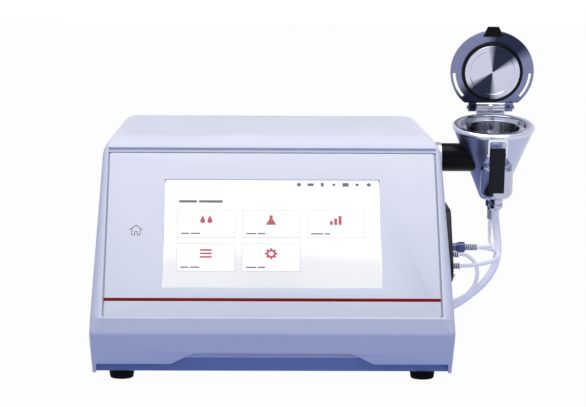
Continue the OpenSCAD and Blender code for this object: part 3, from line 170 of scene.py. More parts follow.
class Finish(Graph):
    """One material: a shader and the noise that gives it grain, mottling and uneven gloss."""

    def __init__(self, name, colour, rough, metal=0.0, place=None):
        self.material = bpy.data.materials.new(name)
        self.material.use_nodes = True
        super().__init__(self.material.node_tree)
        self.colour, self.rough, self.normal = colour, rough, None
        self.shader = self.node("ShaderNodeBsdfPrincipled",
                                {"Base Color": colour, "Roughness": rough, "Metallic": metal})
        self.node("ShaderNodeOutputMaterial", {0: self.shader.outputs[0]})
        where = {"Vector": self.node("ShaderNodeTexCoord").outputs["Object"]}
        if place is not None:
            where |= {"Location": (HOME @ place).to_translation() * MM, "Rotation": place.to_euler()}
        self.spot = self.first("ShaderNodeMapping", where, vector_type="TEXTURE")

    def feed(self, key, socket):
        self.tree.links.new(socket, self.shader.inputs[key])
        return self

    def noise(self, scale, detail=3.0, vector=None):
        return self.first("ShaderNodeTexNoise", {"Scale": scale, "Detail": detail,
                                                 "Vector": vector or self.spot})

    def shade(self, level, dark, start, end):
        """Dark where the level is below start, and the finish's own colour above end."""
        ramp = self.node("ShaderNodeValToRGB", {0: level})
        for element, position, colour in zip(ramp.color_ramp.elements, (start, end), (dark, self.colour)):
            element.position, element.color = position, colour
        return self.feed("Base Color", ramp.outputs[0])

    def mottle(self, scale, share):
        """The colour wanders between itself and a slightly darker one."""
        dark = tuple(c * (1 - share) for c in self.colour[:3]) + (1.0,)
        return self.shade(self.noise(scale), dark, NOISE_LOW, NOISE_HIGH)

    def smudge(self, scale, spread):
        """The gloss wanders, as where hands have been."""
        return self.feed("Roughness", self.first("ShaderNodeMapRange", {
            0: self.noise(scale), "From Min": NOISE_LOW, "From Max": NOISE_HIGH,
            "To Min": max(0.02, self.rough - spread), "To Max": min(1, self.rough + spread)}))

    def relief(self, height, depth, strength=1.0):
        under = {} if self.normal is None else {"Normal": self.normal}
        self.normal = self.first("ShaderNodeBump", {"Distance": depth * MM, "Strength": strength,
                                                    "Height": height, **under})
        return self.feed("Normal", self.normal)

    def grain(self, scale, depth, detail=2.0):
        return self.relief(self.noise(scale, detail), depth)

    def brushed(self, stretch, scale, depth, strength):
        """Fine scratches, long where stretch is small."""
        pulled = self.first("ShaderNodeVectorMath", {0: self.spot, 1: stretch}, operation="MULTIPLY")
        return self.relief(self.noise(scale, 2.0, pulled), depth, strength)

    def turned(self, scale, depth):
        """Rings left by a lathe round the piece's own axis."""
        x, y, z = self.node("ShaderNodeSeparateXYZ", {0: self.spot}).outputs
        flat = self.first("ShaderNodeCombineXYZ", {0: x, 1: y})
        far = self.node("ShaderNodeVectorMath", {0: flat}, operation="LENGTH").outputs["Value"]
        ring = self.first("ShaderNodeCombineXYZ", {0: far, 1: z})
        return self.relief(self.noise(scale, 2.0, ring), depth, LATHE_MARKS)

    def painted_sheen(self, dark):
        """Painted reflection: two bright and two dark wedges painted into the colour by angle round the axis,
        in place of the light that a turned face throws back by its rings.
        """
        x, y, _ = self.node("ShaderNodeSeparateXYZ", {0: self.spot}).outputs
        wave = self.math("SINE", self.math("MULTIPLY_ADD", self.math("ARCTAN2", y, x), 2, SHEEN_TURN))
        return self.shade(self.math("MULTIPLY_ADD", wave, 0.5, 0.5), dark, SHEEN_START, SHEEN_END)

    def set(self, **values):
        for key, value in values.items():
            self.shader.inputs[key.replace("_", " ")].default_value = value
        return self


def finish(name, colour, rough, mottle, smudge, grain, metal=0.0, **more):
    """A material: its mottling (scale, share), smudges (scale, spread) and grain (scale, depth, detail)."""
    made = Finish(name, tone(*colour), rough, metal).mottle(*mottle).smudge(*smudge)
    return made.grain(*grain).set(**more).material


def turned_steel(name, colour, rough, place, scale, depth, dark=None):
    """Steel with lathe marks round the axis of place. Where dark is given, it also gets painted highlight and
    shade wedges in its colour, in place of the reflection of its rings.
    """
    made = Finish(name, tone(*colour), rough, 1.0, place).smudge(35, 0.05).turned(scale, depth)
    return (made.painted_sheen(tone(*dark)) if dark else made.mottle(20, 0.05)).material


MOULDED = (9, 0.03), (25, 0.06)
PAINTED = (14, 0.06), (30, 0.08), (900, 0.05)
PRINTED = (30, 0.04), (300, 0.002)
HOUSING = finish("housing_plastic", (221, 223, 233), 0.46, *MOULDED, (1400, 0.012, 3.0))
PAN = finish("pan_paint", (140, 158, 208), 0.55, *PAINTED)
REAR_PAINT = finish("rear_paint", (190, 193, 204), 0.55, *PAINTED)
PANEL_FILM = finish("panel_film", (221, 222, 229), 0.34, (6, 0.02), (18, 0.05), (2200, 0.004))
STRIP = finish("strip_print", (132, 0, 10), 0.6, (30, 0.06), (40, 0.05), (1500, 0.004),
               Specular_IOR_Level=0.1)
SCREEN = finish("lit_screen", (176, 176, 178), 0.16, (8, 0.015), (20, 0.04), (300, 0.002), Coat_Weight=0.3,
                Coat_Roughness=0.08, Emission_Color=tone(252, 250, 246), Emission_Strength=0.56)
TILE = finish("screen_tile", (190, 190, 192), 0.2, (30, 0.01), (20, 0.03), (300, 0.002),
              Emission_Color=tone(253, 252, 249), Emission_Strength=0.5)
TILE_EDGE = finish("screen_grey", (186, 190, 204), 0.25, (60, 0.05), *PRINTED)
INK_RED = finish("screen_red", (196, 18, 30), 0.25, (60, 0.06), *PRINTED)
INK_DARK = finish("screen_dark", (74, 78, 96), 0.28, (60, 0.08), *PRINTED)
RUBBER = finish("foot_rubber", (10, 11, 16), 0.85, (60, 0.2), (60, 0.08), (1200, 0.05),
                Specular_IOR_Level=0.12)
SEAL = finish("seal_rubber", (14, 14, 20), 0.45, (80, 0.2), (60, 0.08), (1500, 0.01), Specular_IOR_Level=0.15)
BLACK = finish("black_plastic", (20, 21, 30), 0.42, *MOULDED, (1400, 0.02, 3.0), Specular_IOR_Level=0.2)
GLOSS_BLACK = finish("arm_black", (12, 13, 20), 0.3, (30, 0.2), (30, 0.05), (80, 0.01),
                     Specular_IOR_Level=0.08, Coat_Weight=0.03, Coat_Roughness=0.1)
DARK_GREY = finish("grey_plastic", (104, 106, 116), 0.5, *MOULDED, (1400, 0.03, 3.0))
CERAMIC = finish("white_ceramic", (235, 235, 230), 0.35, (40, 0.04), (40, 0.06), (700, 0.01))
BOARD = finish("circuit_board", (24, 92, 52), 0.38, (220, 0.35), (80, 0.08), (500, 0.03))
ALUMINIUM = (Finish("milled_aluminium", tone(196, 198, 206), 0.34, 1.0).mottle(30, 0.06).smudge(40, 0.08)
             .brushed((1, 0.05, 1), 700, 0.02, 0.5).material)
BRASS = finish("turned_brass", (190, 156, 92), 0.3, (40, 0.08), (60, 0.06), (500, 0.01), 1.0)
CELL_GLASS = finish("cell_glass", (226, 240, 246), 0.05, (50, 0.03), (60, 0.02), (120, 0.004),
                    Transmission_Weight=0.9, IOR=1.47)
CONE_STEEL = turned_steel("cone_steel", (182, 188, 220), 0.3, ON_FUNNEL, 1400, 0.012)
RIM_STEEL = turned_steel("rim_steel", (208, 211, 230), 0.16, ON_FUNNEL, 900, 0.008)
# the lid's plug and plate get painted reflection wedges: bright and dark sectors painted into their colour
LID_STEEL = turned_steel("lid_steel", (206, 209, 226), 0.22, ON_LID, 1600, 0.012, (44, 48, 68))
LID_PLATE = turned_steel("lid_plate_steel", (126, 132, 168), 0.26, ON_LID, 1600, 0.012, (44, 48, 72))
DRAIN_STEEL = turned_steel("drain_steel", (186, 190, 212), 0.14, ON_DRAIN, 700, 0.006)
CHROME = finish("chrome", (228, 229, 236), 0.1, (25, 0.04), (45, 0.04), (60, 0.01), 1.0)
SATIN = finish("satin_steel", (206, 209, 224), 0.26, (30, 0.05), (50, 0.06), (900, 0.01), 1.0)
BLUE_METAL = finish("blue_anodised", (88, 98, 146), 0.34, (60, 0.1), (60, 0.08), (900, 0.02), 0.8)
SPRING_STEEL = finish("spring_steel", (70, 76, 116), 0.3, (90, 0.12), (70, 0.08), (900, 0.02), 0.9)
# clear tubing with a painted glow: its emission brightens the tubes, which give no light of their own
CLEAR_TUBE_PAINTED_GLOW = finish("clear_tube", (240, 240, 248), 0.22, (40, 0.05), (50, 0.06), (250, 0.02), IOR=1.4,
                    Transmission_Weight=0.25, Emission_Color=tone(224, 224, 234), Emission_Strength=0.2)

# ---- making meshes ----


def mesh_from(points, faces, place=AROUND):
    """A closed mesh with its faces outwards, its points moved by place and brought to metres."""
    mesh = bpy.data.meshes.new("form")
    mesh.from_pydata([place @ Vector(p) for p in points], [], faces)
    form = bmesh.new()
    form.from_mesh(mesh)
    bmesh.ops.remove_doubles(form, verts=form.verts, dist=1e-4)
    bmesh.ops.recalc_face_normals(form, faces=form.faces)
    bmesh.ops.scale(form, vec=(MM, MM, MM), verts=form.verts)
    form.to_mesh(mesh)
    form.free()
    return mesh


def show(name, mesh, material, node=None, body=BASE, sharp=32):
    """A finished piece of the object, of one mesh or of a list: in its place, shaded, coloured, and riding
    on its body."""
    if isinstance(mesh, list):
        mesh = joined(*mesh)
    mesh.transform(Matrix.Translation(HOME.to_translation() * MM))
    mesh.shade_smooth()
    mesh.set_sharp_from_angle(angle=radians(sharp))
    mesh.materials.clear()
    mesh.materials.append(material)
    piece = bpy.data.objects.new(name, mesh)
    mesh.name = name
    scene.collection.objects.link(piece)
    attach(piece, body)
    if node:
        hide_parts(node)
    return piece


def joined(*meshes):
    """Several meshes as one."""
    form = bmesh.new()
    for mesh in meshes:
        form.from_mesh(mesh)
        bpy.data.meshes.remove(mesh)
    whole = bpy.data.meshes.new("whole")
    form.to_mesh(whole)
    form.free()
    return whole


def softened(mesh, width, segments=2, angle=28):
    """Rounds the edges that turn by more than angle."""
    form = bmesh.new()
    form.from_mesh(mesh)
    edges = [e for e in form.edges if len(e.link_faces) == 2 and e.calc_face_angle(0) > radians(angle)]
    bmesh.ops.bevel(form, geom=edges, offset=width * MM, segments=segments, profile=0.5, affect="EDGES",
                    clamp_overlap=True)
    form.to_mesh(mesh)
    form.free()
    return mesh


def settled(body, *helpers):
    """The body's mesh with its modifiers applied. The body and its helpers go."""
    bpy.context.view_layer.update()
    done = bpy.data.meshes.new_from_object(body.evaluated_get(bpy.context.evaluated_depsgraph_get()))
    for extra in (*helpers, body):
        old = extra.data
        bpy.data.objects.remove(extra)
        bpy.data.meshes.remove(old)
    return done


def carved(mesh, *cutters, operation="DIFFERENCE"):
    """The mesh less the cutters, or joined with them."""
    body = bpy.data.objects.new("being_cut", mesh)
    scene.collection.objects.link(body)
    tools = []
    for cutter in cutters:
        tool = bpy.data.objects.new("cutter", cutter)
        scene.collection.objects.link(tool)
        cut = body.modifiers.new("cut", "BOOLEAN")
        cut.operation = operation
        cut.solver = "EXACT"
        cut.object = tool
        tools.append(tool)
    return settled(body, *tools)


def arc(centre, radius, start, end, steps):
    angles = [radians(start + (end - start) * k / steps) for k in range(steps + 1)]
    return [(centre[0] + radius * cos(a), centre[1] + radius * sin(a)) for a in angles]


def filleted(points, radius, steps=4, closed=False):
    """A profile with its corners rounded. A point may carry its own radius as a third number."""
    n, made = len(points), []
    for i, p in enumerate(points):
        r = p[2] if len(p) > 2 else radius
        here = Vector(p[:2])
        back, on = Vector(points[i - 1][:2]) - here, Vector(points[(i + 1) % n][:2]) - here
        if (not closed and i in (0, n - 1)) or r <= 0 or min(back.length, on.length) < 1e-6:
            made.append((p[0], p[1]))
            continue
        half = back.angle(on) / 2
        reach = min(r / max(tan(half), 1e-6), back.length * 0.48, on.length * 0.48)
        a, b = here + back.normalized() * reach, here + on.normalized() * reach
        for k in range(steps + 1):
            t = k / steps
            q = a * (1 - t) ** 2 + here * 2 * t * (1 - t) + b * t ** 2
            made.append((q.x, q.y))
    return made


def lathe(profile, place=AROUND, steps=96, closed=False):
    """The profile of (radius, height) turned round Z. An open one starts and ends on the axis."""
    points, rows = [], []
    for r, z in profile:
        count = 1 if r < 1e-6 else steps
        rows.append([len(points) + k % count for k in range(steps)])
        points += [(r * cos(2 * pi * k / steps), r * sin(2 * pi * k / steps), z) for k in range(count)]
    faces = []
    for low, high in zip(rows, rows[1:] + rows[:1] if closed else rows[1:]):
        for k in range(steps):
            j = (k + 1) % steps
            face = tuple(dict.fromkeys((low[k], low[j], high[j], high[k])))
            if len(face) > 2:
                faces.append(face)
    return mesh_from(points, faces, place)


def spun(profile, place, radius, steps=48, corner=4, closed=False):
    """A lathed piece whose profile is rounded first."""
    return lathe(filleted(profile, radius, corner, closed), place, steps, closed)


def prism(outline, low, high, place=AROUND, edge=0.0, segments=2):
    """An outline in X and Y, from low to high along Z."""
    n = len(outline)
    points = [(x, y, low) for x, y in outline] + [(x, y, high) for x, y in outline]
    faces = [tuple(range(n)), tuple(range(n, 2 * n))]
    faces += [(k, (k + 1) % n, n + (k + 1) % n, n + k) for k in range(n)]
    mesh = mesh_from(points, faces, place)
    return softened(mesh, edge, segments) if edge else mesh


def rectangle(x0, y0, x1, y1):
    return [(x0, y0), (x1, y0), (x1, y1), (x0, y1)]


def bar(low, high, place=AROUND, edge=0.4, segments=2):
    """A block with its edges rounded."""
    return prism(rectangle(low[0], low[1], high[0], high[1]), low[2], high[2], place, edge, segments)


def rod(radius, start, length, place=AROUND, edge=0.3, steps=48):
    """A round bar along Z of place, with its two ends rounded."""
    end = start + length
    return spun([(0, start), (radius, start), (radius, end), (0, end)], place, edge, steps)


def dress(material, *nodes):
    """A CAD node that stays as it is gets its finish."""
    for node in nodes:
        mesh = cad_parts[node].data
        mesh.materials.clear()
        mesh.materials.append(material)


# ---- free tubes ----


def smooth_path(points, step=2.0):
    """A smooth line through the points, in even steps."""
    ends = [points[0] * 2 - points[1]] + points + [points[-1] * 2 - points[-2]]
    dense = []
    for i in range(1, len(ends) - 2):
        a, b, c, d = ends[i - 1:i + 3]
        count = max(2, round((c - b).length / step))
        for k in range(count):
            t = k / count
            dense.append(0.5 * (2 * b + (c - a) * t + (2 * a - 5 * b + 4 * c - d) * t * t
                                + (3 * b - a - 3 * c + d) * t ** 3))
    return dense + [points[-1]]


def tube_mesh(path, radius, sides=20):
    """A tube along the path, closed at both ends."""
    end = len(path) - 1
    tangents = [(path[min(i + 1, end)] - path[max(i - 1, 0)]).normalized() for i in range(end + 1)]
    across = Vector((0.36, 0.48, 0.8))
    points, faces = [], []
    for p, t in zip(path, tangents):
        across = (across - t * across.dot(t)).normalized()
        other = t.cross(across)
        points += [p + radius * (cos(2 * pi * k / sides) * across
                                 + sin(2 * pi * k / sides) * other) for k in range(sides)]
    for i in range(end):
        faces += [(i * sides + k, i * sides + (k + 1) % sides, (i + 1) * sides + (k + 1) % sides,
                   (i + 1) * sides + k) for k in range(sides)]
    last = end * sides
    faces += [tuple(range(sides)), tuple(range(last, last + sides))]
    return mesh_from(points, faces)


TUBE_ROUTES = {
    "sample_tube": (2, [(232, 21.5, 144.6), (232, 23.5, 134), (232, 24.6, 127), (231.6, 22.6, 121),
                        (231, 16, 117), (230.2, 6, 115.5), (229.2, -6, 114.8), (228.3, -18, 114.5),
                        (228, -32, 114.5), (225.9, -42, 114.5), (220, -47.9, 114.5), (212, -50, 114.5),
                        (199, -50, 114.5)]),
    "loop_tube": (2, [(187.5, -50, 95), (198, -50, 95), (207, -49.7, 95.6), (215, -48.8, 96.6),
                      (223, -46.8, 98), (230, -43, 100.2), (234.3, -38, 102.8), (235.3, -32, 105),
                      (232.5, -26.5, 107), (226.5, -23.5, 108.6), (218, -22.3, 110), (208, -22, 111),
                      (198, -22, 111.2), (187.5, -22, 111.2)]),
    "vent_tube": (2, [(187.5, -34, 104.5), (198, -34, 104.5), (204, -34.8, 102.8), (209.8, -36.5, 97.5),
                      (212.8, -38.5, 91), (213.1, -40.5, 83.5), (210.2, -42.5, 73.8), (203.5, -44.5, 65.5),
                      (196, -45.6, 60.4), (190, -46, 58), (184, -46, 58)]),
    "waste_hose": (4, [(234, -9.7, 148.4), (234.2, -8.2, 140.5), (235, -9, 131), (236, -13, 121),
                       (236.3, -17.5, 111), (235.2, -21.5, 100), (231.8, -25, 89.5), (226.3, -28, 80.5),
                       (219, -30, 72), (210.5, -31, 64.6), (201, -31.7, 57.4), (193.5, -32, 52.4),
                       (188, -32, 50), (184, -32, 50)]),
}


def lay_tubes():
    for name, (radius, route) in TUBE_ROUTES.items():
        path = smooth_path([Vector(p) for p in route])
        tube = show(name + "_run", tube_mesh(path, radius), CLEAR_TUBE_PAINTED_GLOW, name)


lay_tubes()

# ---- housing ----


def half_width(y, z, inset=0.0):
    """Half width of the housing at a depth and height: it narrows upwards, tucks in below the fold, and the
    two meet in a soft line."""
    above = HALF_W - TOP_NARROW * (z - FOLD_Z) / (BODY_H - FOLD_Z)
    below = HALF_W - SIDE_TUCK * (FOLD_Z - z) / (FOLD_Z - FOOT_H)
    soft = 0.6
    narrow = HALF_W - soft * log(exp((HALF_W - above) / soft) + exp((HALF_W - below) / soft))
    return narrow - REAR_NARROW * (y - FRONT_Y) / BODY_D - inset


def slope_y(z):
    """Depth of the slanted front at a height."""
    return FRONT_Y + (z - SLOPE_Z) * tan(TILT)


def side_profile(low):
    """The housing seen from its right, as (y, z): chin's lower edge, rear, top, slope and the fold."""
    chin_low = FOLD_Y + CHIN_BACK * (FOLD_Z - low) / (FOLD_Z - FOOT_H)
    chin_top = SLOPE_Z + (PANEL_UP - CHIN_LIP) * cos(TILT)
    return [(chin_low, low), (REAR_Y, low), (REAR_Y, BODY_H), (slope_y(BODY_H), BODY_H),
            (slope_y(chin_top), chin_top), (FOLD_Y, FOLD_Z)]


# how round each edge of that profile is towards the sides, where it starts and where it ends:
# bottom, rear, top, slope, and the chin above and below its fold
EDGE_ROUND = [(0.6, 0.6), (18, 18), (19, 19), (7, 12.5), (12.5, 6.5), (6.5, 6.5)]
CORNER_ROUND = [0.6, 0.6, 18, 30, 4, 8]    # of the profile's own corners
CORNER_STEPS = [1, 1, 14, 18, 6, 8]
EDGE_PARTS = [6, 40, 10, 18, 5, 10]        # stretches of each straight edge


def profile_ring(low, moved):
    """The side profile with its edges moved in, as (y, z, roundness). What moved says of an edge's roundness
    is how far that edge moves."""
    corners = side_profile(low)
    n = len(corners)
    arcs = []
    for i in range(n):
        here = Vector(corners[i])
        u = (here - Vector(corners[i - 1])).normalized()
        v = (Vector(corners[(i + 1) % n]) - here).normalized()
        nu, nv = Vector((-u.y, u.x)), Vector((-v.y, v.x))
        du, dv = moved(EDGE_ROUND[i - 1][1]), moved(EDGE_ROUND[i][0])
        cross = nu.x * nv.y - nu.y * nv.x
        p = here + Vector(((du * nv.y - dv * nu.y) / cross, (dv * nu.x - du * nv.x) / cross))
        r = max(CORNER_ROUND[i] - (du + dv) / 2, 0.5)
        turn = u.angle(v)
        reach = r * tan(turn / 2)
        middle = p - u * reach + nu * r
        start = atan2(-nu.y, -nu.x)
        arcs.append([(middle.x + r * cos(start + turn * k / CORNER_STEPS[i]),
                      middle.y + r * sin(start + turn * k / CORNER_STEPS[i]), k / CORNER_STEPS[i])
                     for k in range(CORNER_STEPS[i] + 1)])
    ring = []
    for i in range(n):
        before, after, end = EDGE_ROUND[i - 1][1], EDGE_ROUND[i][0], EDGE_ROUND[i][1]
        for y, z, t in arcs[i]:
            ease = t * t * (3 - 2 * t)
            ring.append((y, z, before * (1 - ease) + after * ease))
        a, b = arcs[i][-1], arcs[(i + 1) % n][0]
        for k in range(1, EDGE_PARTS[i]):
            t = k / EDGE_PARTS[i]
            ring.append((a[0] + (b[0] - a[0]) * t, a[1] + (b[1] - a[1]) * t, after + (end - after) * t))
    return ring


def housing_skin(inset, low, steps=9):
    """The housing's form: a profile across the middle, round edges, and two sides cut along soft lines."""
    rings = []
    for k in range(steps + 1):
        phi = pi / 2 * k / steps
        ring = profile_ring(low, lambda r: inset + max(r - inset, 0.4) * (1 - cos(phi)))
        rings.append([(half_width(y, z, inset) - max(r - inset, 0.4) * (1 - sin(phi)), y, z)
                      for y, z, r in ring])
    n = len(rings[0])
    points = [(-x, y, z) for ring in reversed(rings) for x, y, z in ring]
    points += [(x, y, z) for ring in rings for x, y, z in ring]
    rows = len(points) // n
    faces = [(i * n + k, i * n + (k + 1) % n, (i + 1) * n + (k + 1) % n, (i + 1) * n + k)
             for i in range(rows - 1) for k in range(n)]
    faces += [tuple(range(n)), tuple(range((rows - 1) * n, rows * n))]
    mesh = bpy.data.meshes.new("skin")
    mesh.from_pydata(points, [], faces)
    form = bmesh.new()
    form.from_mesh(mesh)
    form.faces.ensure_lookup_table()
    ends = [form.faces[-2], form.faces[-1]]
    for rise in (-6, -4, -2.5, -1.2, 0, 1.2, 2.5, 4, 6):
        ends = [f for f in ends if f.is_valid]
        around = set(ends) | {e for f in ends for e in f.edges} | {v for f in ends for v in f.verts}
        cut = bmesh.ops.bisect_plane(form, geom=list(around), dist=1e-5, plane_co=(0, 0, FOLD_Z + rise),
                                     plane_no=(0, 0, 1))
        ends += [g for g in cut["geom"] if isinstance(g, bmesh.types.BMFace) and g not in ends]
    for face in [f for f in ends if f.is_valid]:
        for v in face.verts:
            side = 1 if v.co.x > 0 else -1
            v.co.x = side * half_width(v.co.y, v.co.z, inset)
    bmesh.ops.recalc_face_normals(form, faces=form.faces)
    bmesh.ops.scale(form, vec=(MM, MM, MM), verts=form.verts)
    form.to_mesh(mesh)
    form.free()
    return mesh


def round_outline(corners, radius, steps=8):
    """A closed outline with its corners rounded by true arcs."""
    n, made = len(corners), []
    for i in range(n):
        here = Vector(corners[i])
        u = (here - Vector(corners[i - 1])).normalized()
        v = (Vector(corners[(i + 1) % n]) - here).normalized()
        turn = u.angle_signed(v)
        side = 1 if turn < 0 else -1
        left = Vector((-u.y, u.x)) * side
        reach = radius * tan(abs(turn) / 2)
        middle = here - u * reach + left * radius
        start = atan2(-left.y, -left.x)
        angles = [start + side * abs(turn) * k / steps for k in range(steps + 1)]
        made += [(middle.x + radius * cos(a), middle.y + radius * sin(a)) for a in angles]
    return made


def plate_outline(inset, radius):
    """The port plate seen from its side, as (y, z)."""
    def front(z):
        return slope_y(z) + 22
    low, top, rear = 88 + inset, 157 - inset, -8 - inset
    lean = inset / cos(TILT)
    return round_outline([(front(low) + lean, low), (rear, low), (rear, top), (front(top) + lean, top)],
                         max(radius - inset, 1))


def front_pockets():
    """The front's opening: deep where the panel sits, shallow under the hood's lip, and wider at its very
    edge, so that the cheeks end in a thin lit line."""
    half, low, flare = PANEL_W / 2 + PANEL_GAP, PANEL_UP - 0.6, 0.7
    levels = [(-PANEL_IN - 0.2, 0), (-flare, 0), (0, flare), (60, flare)]
    points, faces = [], []
    for n, grow in levels:
        bottom = low - 1.6 * grow
        points += [(-half - grow, bottom, n), (half + grow, bottom, n), (half + grow, LIP_UP, n),
                   (-half - grow, LIP_UP, n)]
    for i in range(len(levels) - 1):
        faces += [(i * 4 + k, i * 4 + (k + 1) % 4, i * 4 + 4 + (k + 1) % 4, i * 4 + 4 + k) for k in range(4)]
    faces += [(0, 1, 2, 3), (12, 13, 14, 15)]
    shallow = mesh_from(points, faces, ON_FRONT)
    top = PANEL_UP + PANEL_L + PANEL_GAP
    return shallow, bar((-half, low, -PANEL_IN - PANEL_T), (half, top, 0), ON_FRONT, 0)


def grip_outline():
    """The cut below the chin, with the finger recess in its middle."""
    side = HALF_W - SIDE_TUCK * (FOLD_Z - CHIN_Z) / (FOLD_Z - FOOT_H) - CHEEK_FOOT
    half, foot, top = GRIP_HALF, GRIP_HALF + 2 * GRIP_H, CHIN_Z + GRIP_H
    return filleted([(-side, FOOT_H - 1, 0), (side, FOOT_H - 1, 0), (side, CHIN_Z, 1), (foot, CHIN_Z, 7),
                     (half, top, 5), (-half, top, 5), (-foot, CHIN_Z, 7), (-side, CHIN_Z, 1)], 1, 6, True)


def side_bore(radius, y, z, length=60, steps=48):
    """A cutter through the housing's right side."""
    return rod(radius, 0, length, at(INSIDE_X, y, z) @ ALONG_X, 0, steps)


def build_housing():
    skin = housing_skin(0, FOOT_H)
    inner = housing_skin(WALL, -6)
    side, rim = PANEL_W / 2 - 5.4, 6
    window = bar((-side, PANEL_UP + rim, -40), (side, PANEL_UP + PANEL_L - rim, 1), ON_FRONT, 0)
    rear = bar((-REAR_OPEN_HALF, REAR_Y - 4, -1), (REAR_OPEN_HALF, REAR_Y + 1, REAR_OPEN_TOP), edge=0)
    grip = prism(grip_outline(), -PAN_FRONT, -FRONT_Y + 1, UPRIGHT)
    plate = prism(plate_outline(9, PLATE_ROUND), INSIDE_X, HALF_W + 10, SIDEWAYS)
    arm = side_bore(ARM_D / 2 + 0.3, FUNNEL[1], ARM_Z, 50, 96)
    lows = [side_bore(5, y, z) for y, z in LOW_PORTS]
    ledge = carved(bar((-HALF_W + 4, PANEL_UP - 6, -8), (HALF_W - 4, LIP_UP + 6, -PANEL_IN - 0.2),
                       ON_FRONT, 0), housing_skin(WALL / 2, 0), operation="INTERSECT")
    shell = carved(carved(skin, inner), ledge, operation="UNION")
    shell = carved(shell, *front_pockets(), window, rear, grip, plate, arm, *lows)
    show("housing", softened(shell, 0.5, 2, 40), HOUSING, "housing_shell", sharp=30)
    skirt = prism(filleted([(-84, 22, 1), (84, 22, 1), (92, 31, 0.5), (-92, 31, 0.5)], 1, 3, True),
                  -PAN_FRONT + 0.1, -PAN_FRONT + 1.6, UPRIGHT, 0.4)
    show("grip_skirt", skirt, HOUSING, None)


build_housing()

# ---- front panel, screen and its picture ----


def build_front():
    half, low, high = SCREEN_W / 2, SCREEN_UP - SCREEN_L / 2, SCREEN_UP + SCREEN_L / 2
    face = -PANEL_IN
    sheet = rectangle(-PANEL_W / 2, PANEL_UP, PANEL_W / 2, PANEL_UP + PANEL_L)
    panel = prism(round_outline(sheet, 2.5, 5), face - PANEL_T, face, ON_FRONT, 0.9, 3)
    hole = bar((-half, low, face - PANEL_T - 1), (half, high, face + 1), ON_FRONT, 0)
    show("front_film", carved(panel, hole), PANEL_FILM, "front_panel")
    rim = 0.9
    glass = bar((-half + rim, low + rim, face - 2), (half - rim, high - rim, face - 0.1), ON_FRONT, 0.3)
    show("screen_glass", glass, SCREEN, "display_glass")
    strip = bar((-PANEL_W / 2, 37.8, face - 0.2), (PANEL_W / 2, 41.2, face + 0.3), ON_FRONT, 0.12)
    show("printed_strip", strip, STRIP, "trim_strip")


SCREEN_FACE = -PANEL_IN - 0.1
MARK_LIFT = 0.12
TILES = [(x, s) for s in (127.3, 88.0) for x in (-66.3, -1.3, 63.6)][:5]
TILE_HALF = (28.7, 15.8)


def screen_shape(outline, lift=MARK_LIFT):
    """One flat mark on the lit screen, as thin as a print."""
    return prism(outline, SCREEN_FACE - 0.05, SCREEN_FACE + lift, ON_FRONT)


def screen_plate(x0, s0, x1, s1, lift=MARK_LIFT, radius=0.8):
    return screen_shape(round_outline(rectangle(x0, s0, x1, s1), radius, 4), lift)


def placed(points, middle, angle=0.0):
    c, s = cos(radians(angle)), sin(radians(angle))
    return [(middle[0] + x * c - y * s, middle[1] + x * s + y * c) for x, y in points]


def build_picture():
    w, h = TILE_HALF
    edge = 0.45
    edges = [screen_plate(x - w - edge, s - h - edge, x + w + edge, s + h + edge, 0.04) for x, s in TILES]
    show("tile_edges", edges, TILE_EDGE)
    show("tiles", [screen_plate(x - w, s - h, x + w, s + h, 0.08) for x, s in TILES], TILE)
    show("screen_icons", tile_icons(), INK_RED)
    show("screen_marks", screen_marks(), INK_DARK)


def tile_icons():
    """One plain pictogram for each tile: drops, a flask, bars, a list and a toothed ring."""
    (x0, s0), (x1, _), (x2, _), (x3, s3), (x4, _) = TILES
    upper, lower = s0 + 4.5, s3 + 4.5
    drop = arc((0, -1.2), 2.6, -210, 30, 12) + [(0, 5.6)]
    made = [screen_shape(placed(drop, (x0 + side * 3.6, upper))) for side in (-1, 1)]
    flask = [(-5.5, -5.5), (5.5, -5.5), (1.6, 1.2), (1.6, 5.6), (-1.6, 5.6), (-1.6, 1.2)]
    made.append(screen_shape(placed(flask, (x1, upper))))
    for k, tall in enumerate((4.5, 7.5, 10.5)):
        left, low = x2 - 6 + 4.4 * k, upper - 5.4
        made.append(screen_plate(left, low, left + 3, low + tall, radius=0.3))
    for k in range(3):
        made.append(screen_plate(x3 - 6, lower - 5 + 4 * k, x3 + 6, lower - 3 + 4 * k, radius=0.4))
    tooth = [(4.6, -1.3), (6.3, -0.9), (6.3, 0.9), (4.6, 1.3)]
    made += [screen_shape(placed(tooth, (x4, lower), 45 * k), MARK_LIFT - 0.01) for k in range(8)]
    for k in range(24):
        (a, b), (c, d) = arc((0, 0), 2.6, 15 * k, 15 * k + 15, 1), arc((0, 0), 4.8, 15 * k, 15 * k + 15, 1)
        made.append(screen_shape(placed([a, c, d, b], (x4, lower))))
    return made


def screen_marks():
    """Slim bars where a heading and captions stand, and small shapes for the states."""
    made = []
    for k, (x, s) in enumerate(TILES):
        split, low = x - 17 + 2 * (k % 3), s - 12.2
        made.append(screen_plate(x - 25, low, split, low + 1.5, radius=0.4))
        made.append(screen_plate(split + 1.5, low, x - 6, low + 1.5, radius=0.4))
    made += [screen_plate(start, 152.4, end, 155.2, radius=0.6) for start, end in ((-94, -76), (-74, -50))]
    for k in range(7):
        x, tall = 27 + 11.8 * k, 4.4 - 1.2 * (k % 2)
        wide = (tall, 6.4, 3.2)[k % 3]
        made.append(screen_plate(x - wide / 2, 174.3 - tall / 2, x + wide / 2, 174.3 + tall / 2,
                                 radius=(tall / 2.02, 0.5, 0.9)[k % 3]))
    return made


def stroke(points, thick, middle, low, high):
    """A line of even thickness through the points, as thin flat bars printed on the front."""
    made = []
    for (x0, y0), (x1, y1) in zip(points, points[1:]):
        a, b = Vector((x0, y0)), Vector((x1, y1))
        along = (b - a).normalized() * thick / 2
        side = Vector((-along.y, along.x))
        a, b = a - along + Vector(middle), b + along + Vector(middle)
        outline = [tuple(p) for p in (a - side, b - side, b + side, a + side)]
        made.append(prism(outline, low, high + 0.004 * len(made), ON_FRONT))
    return made


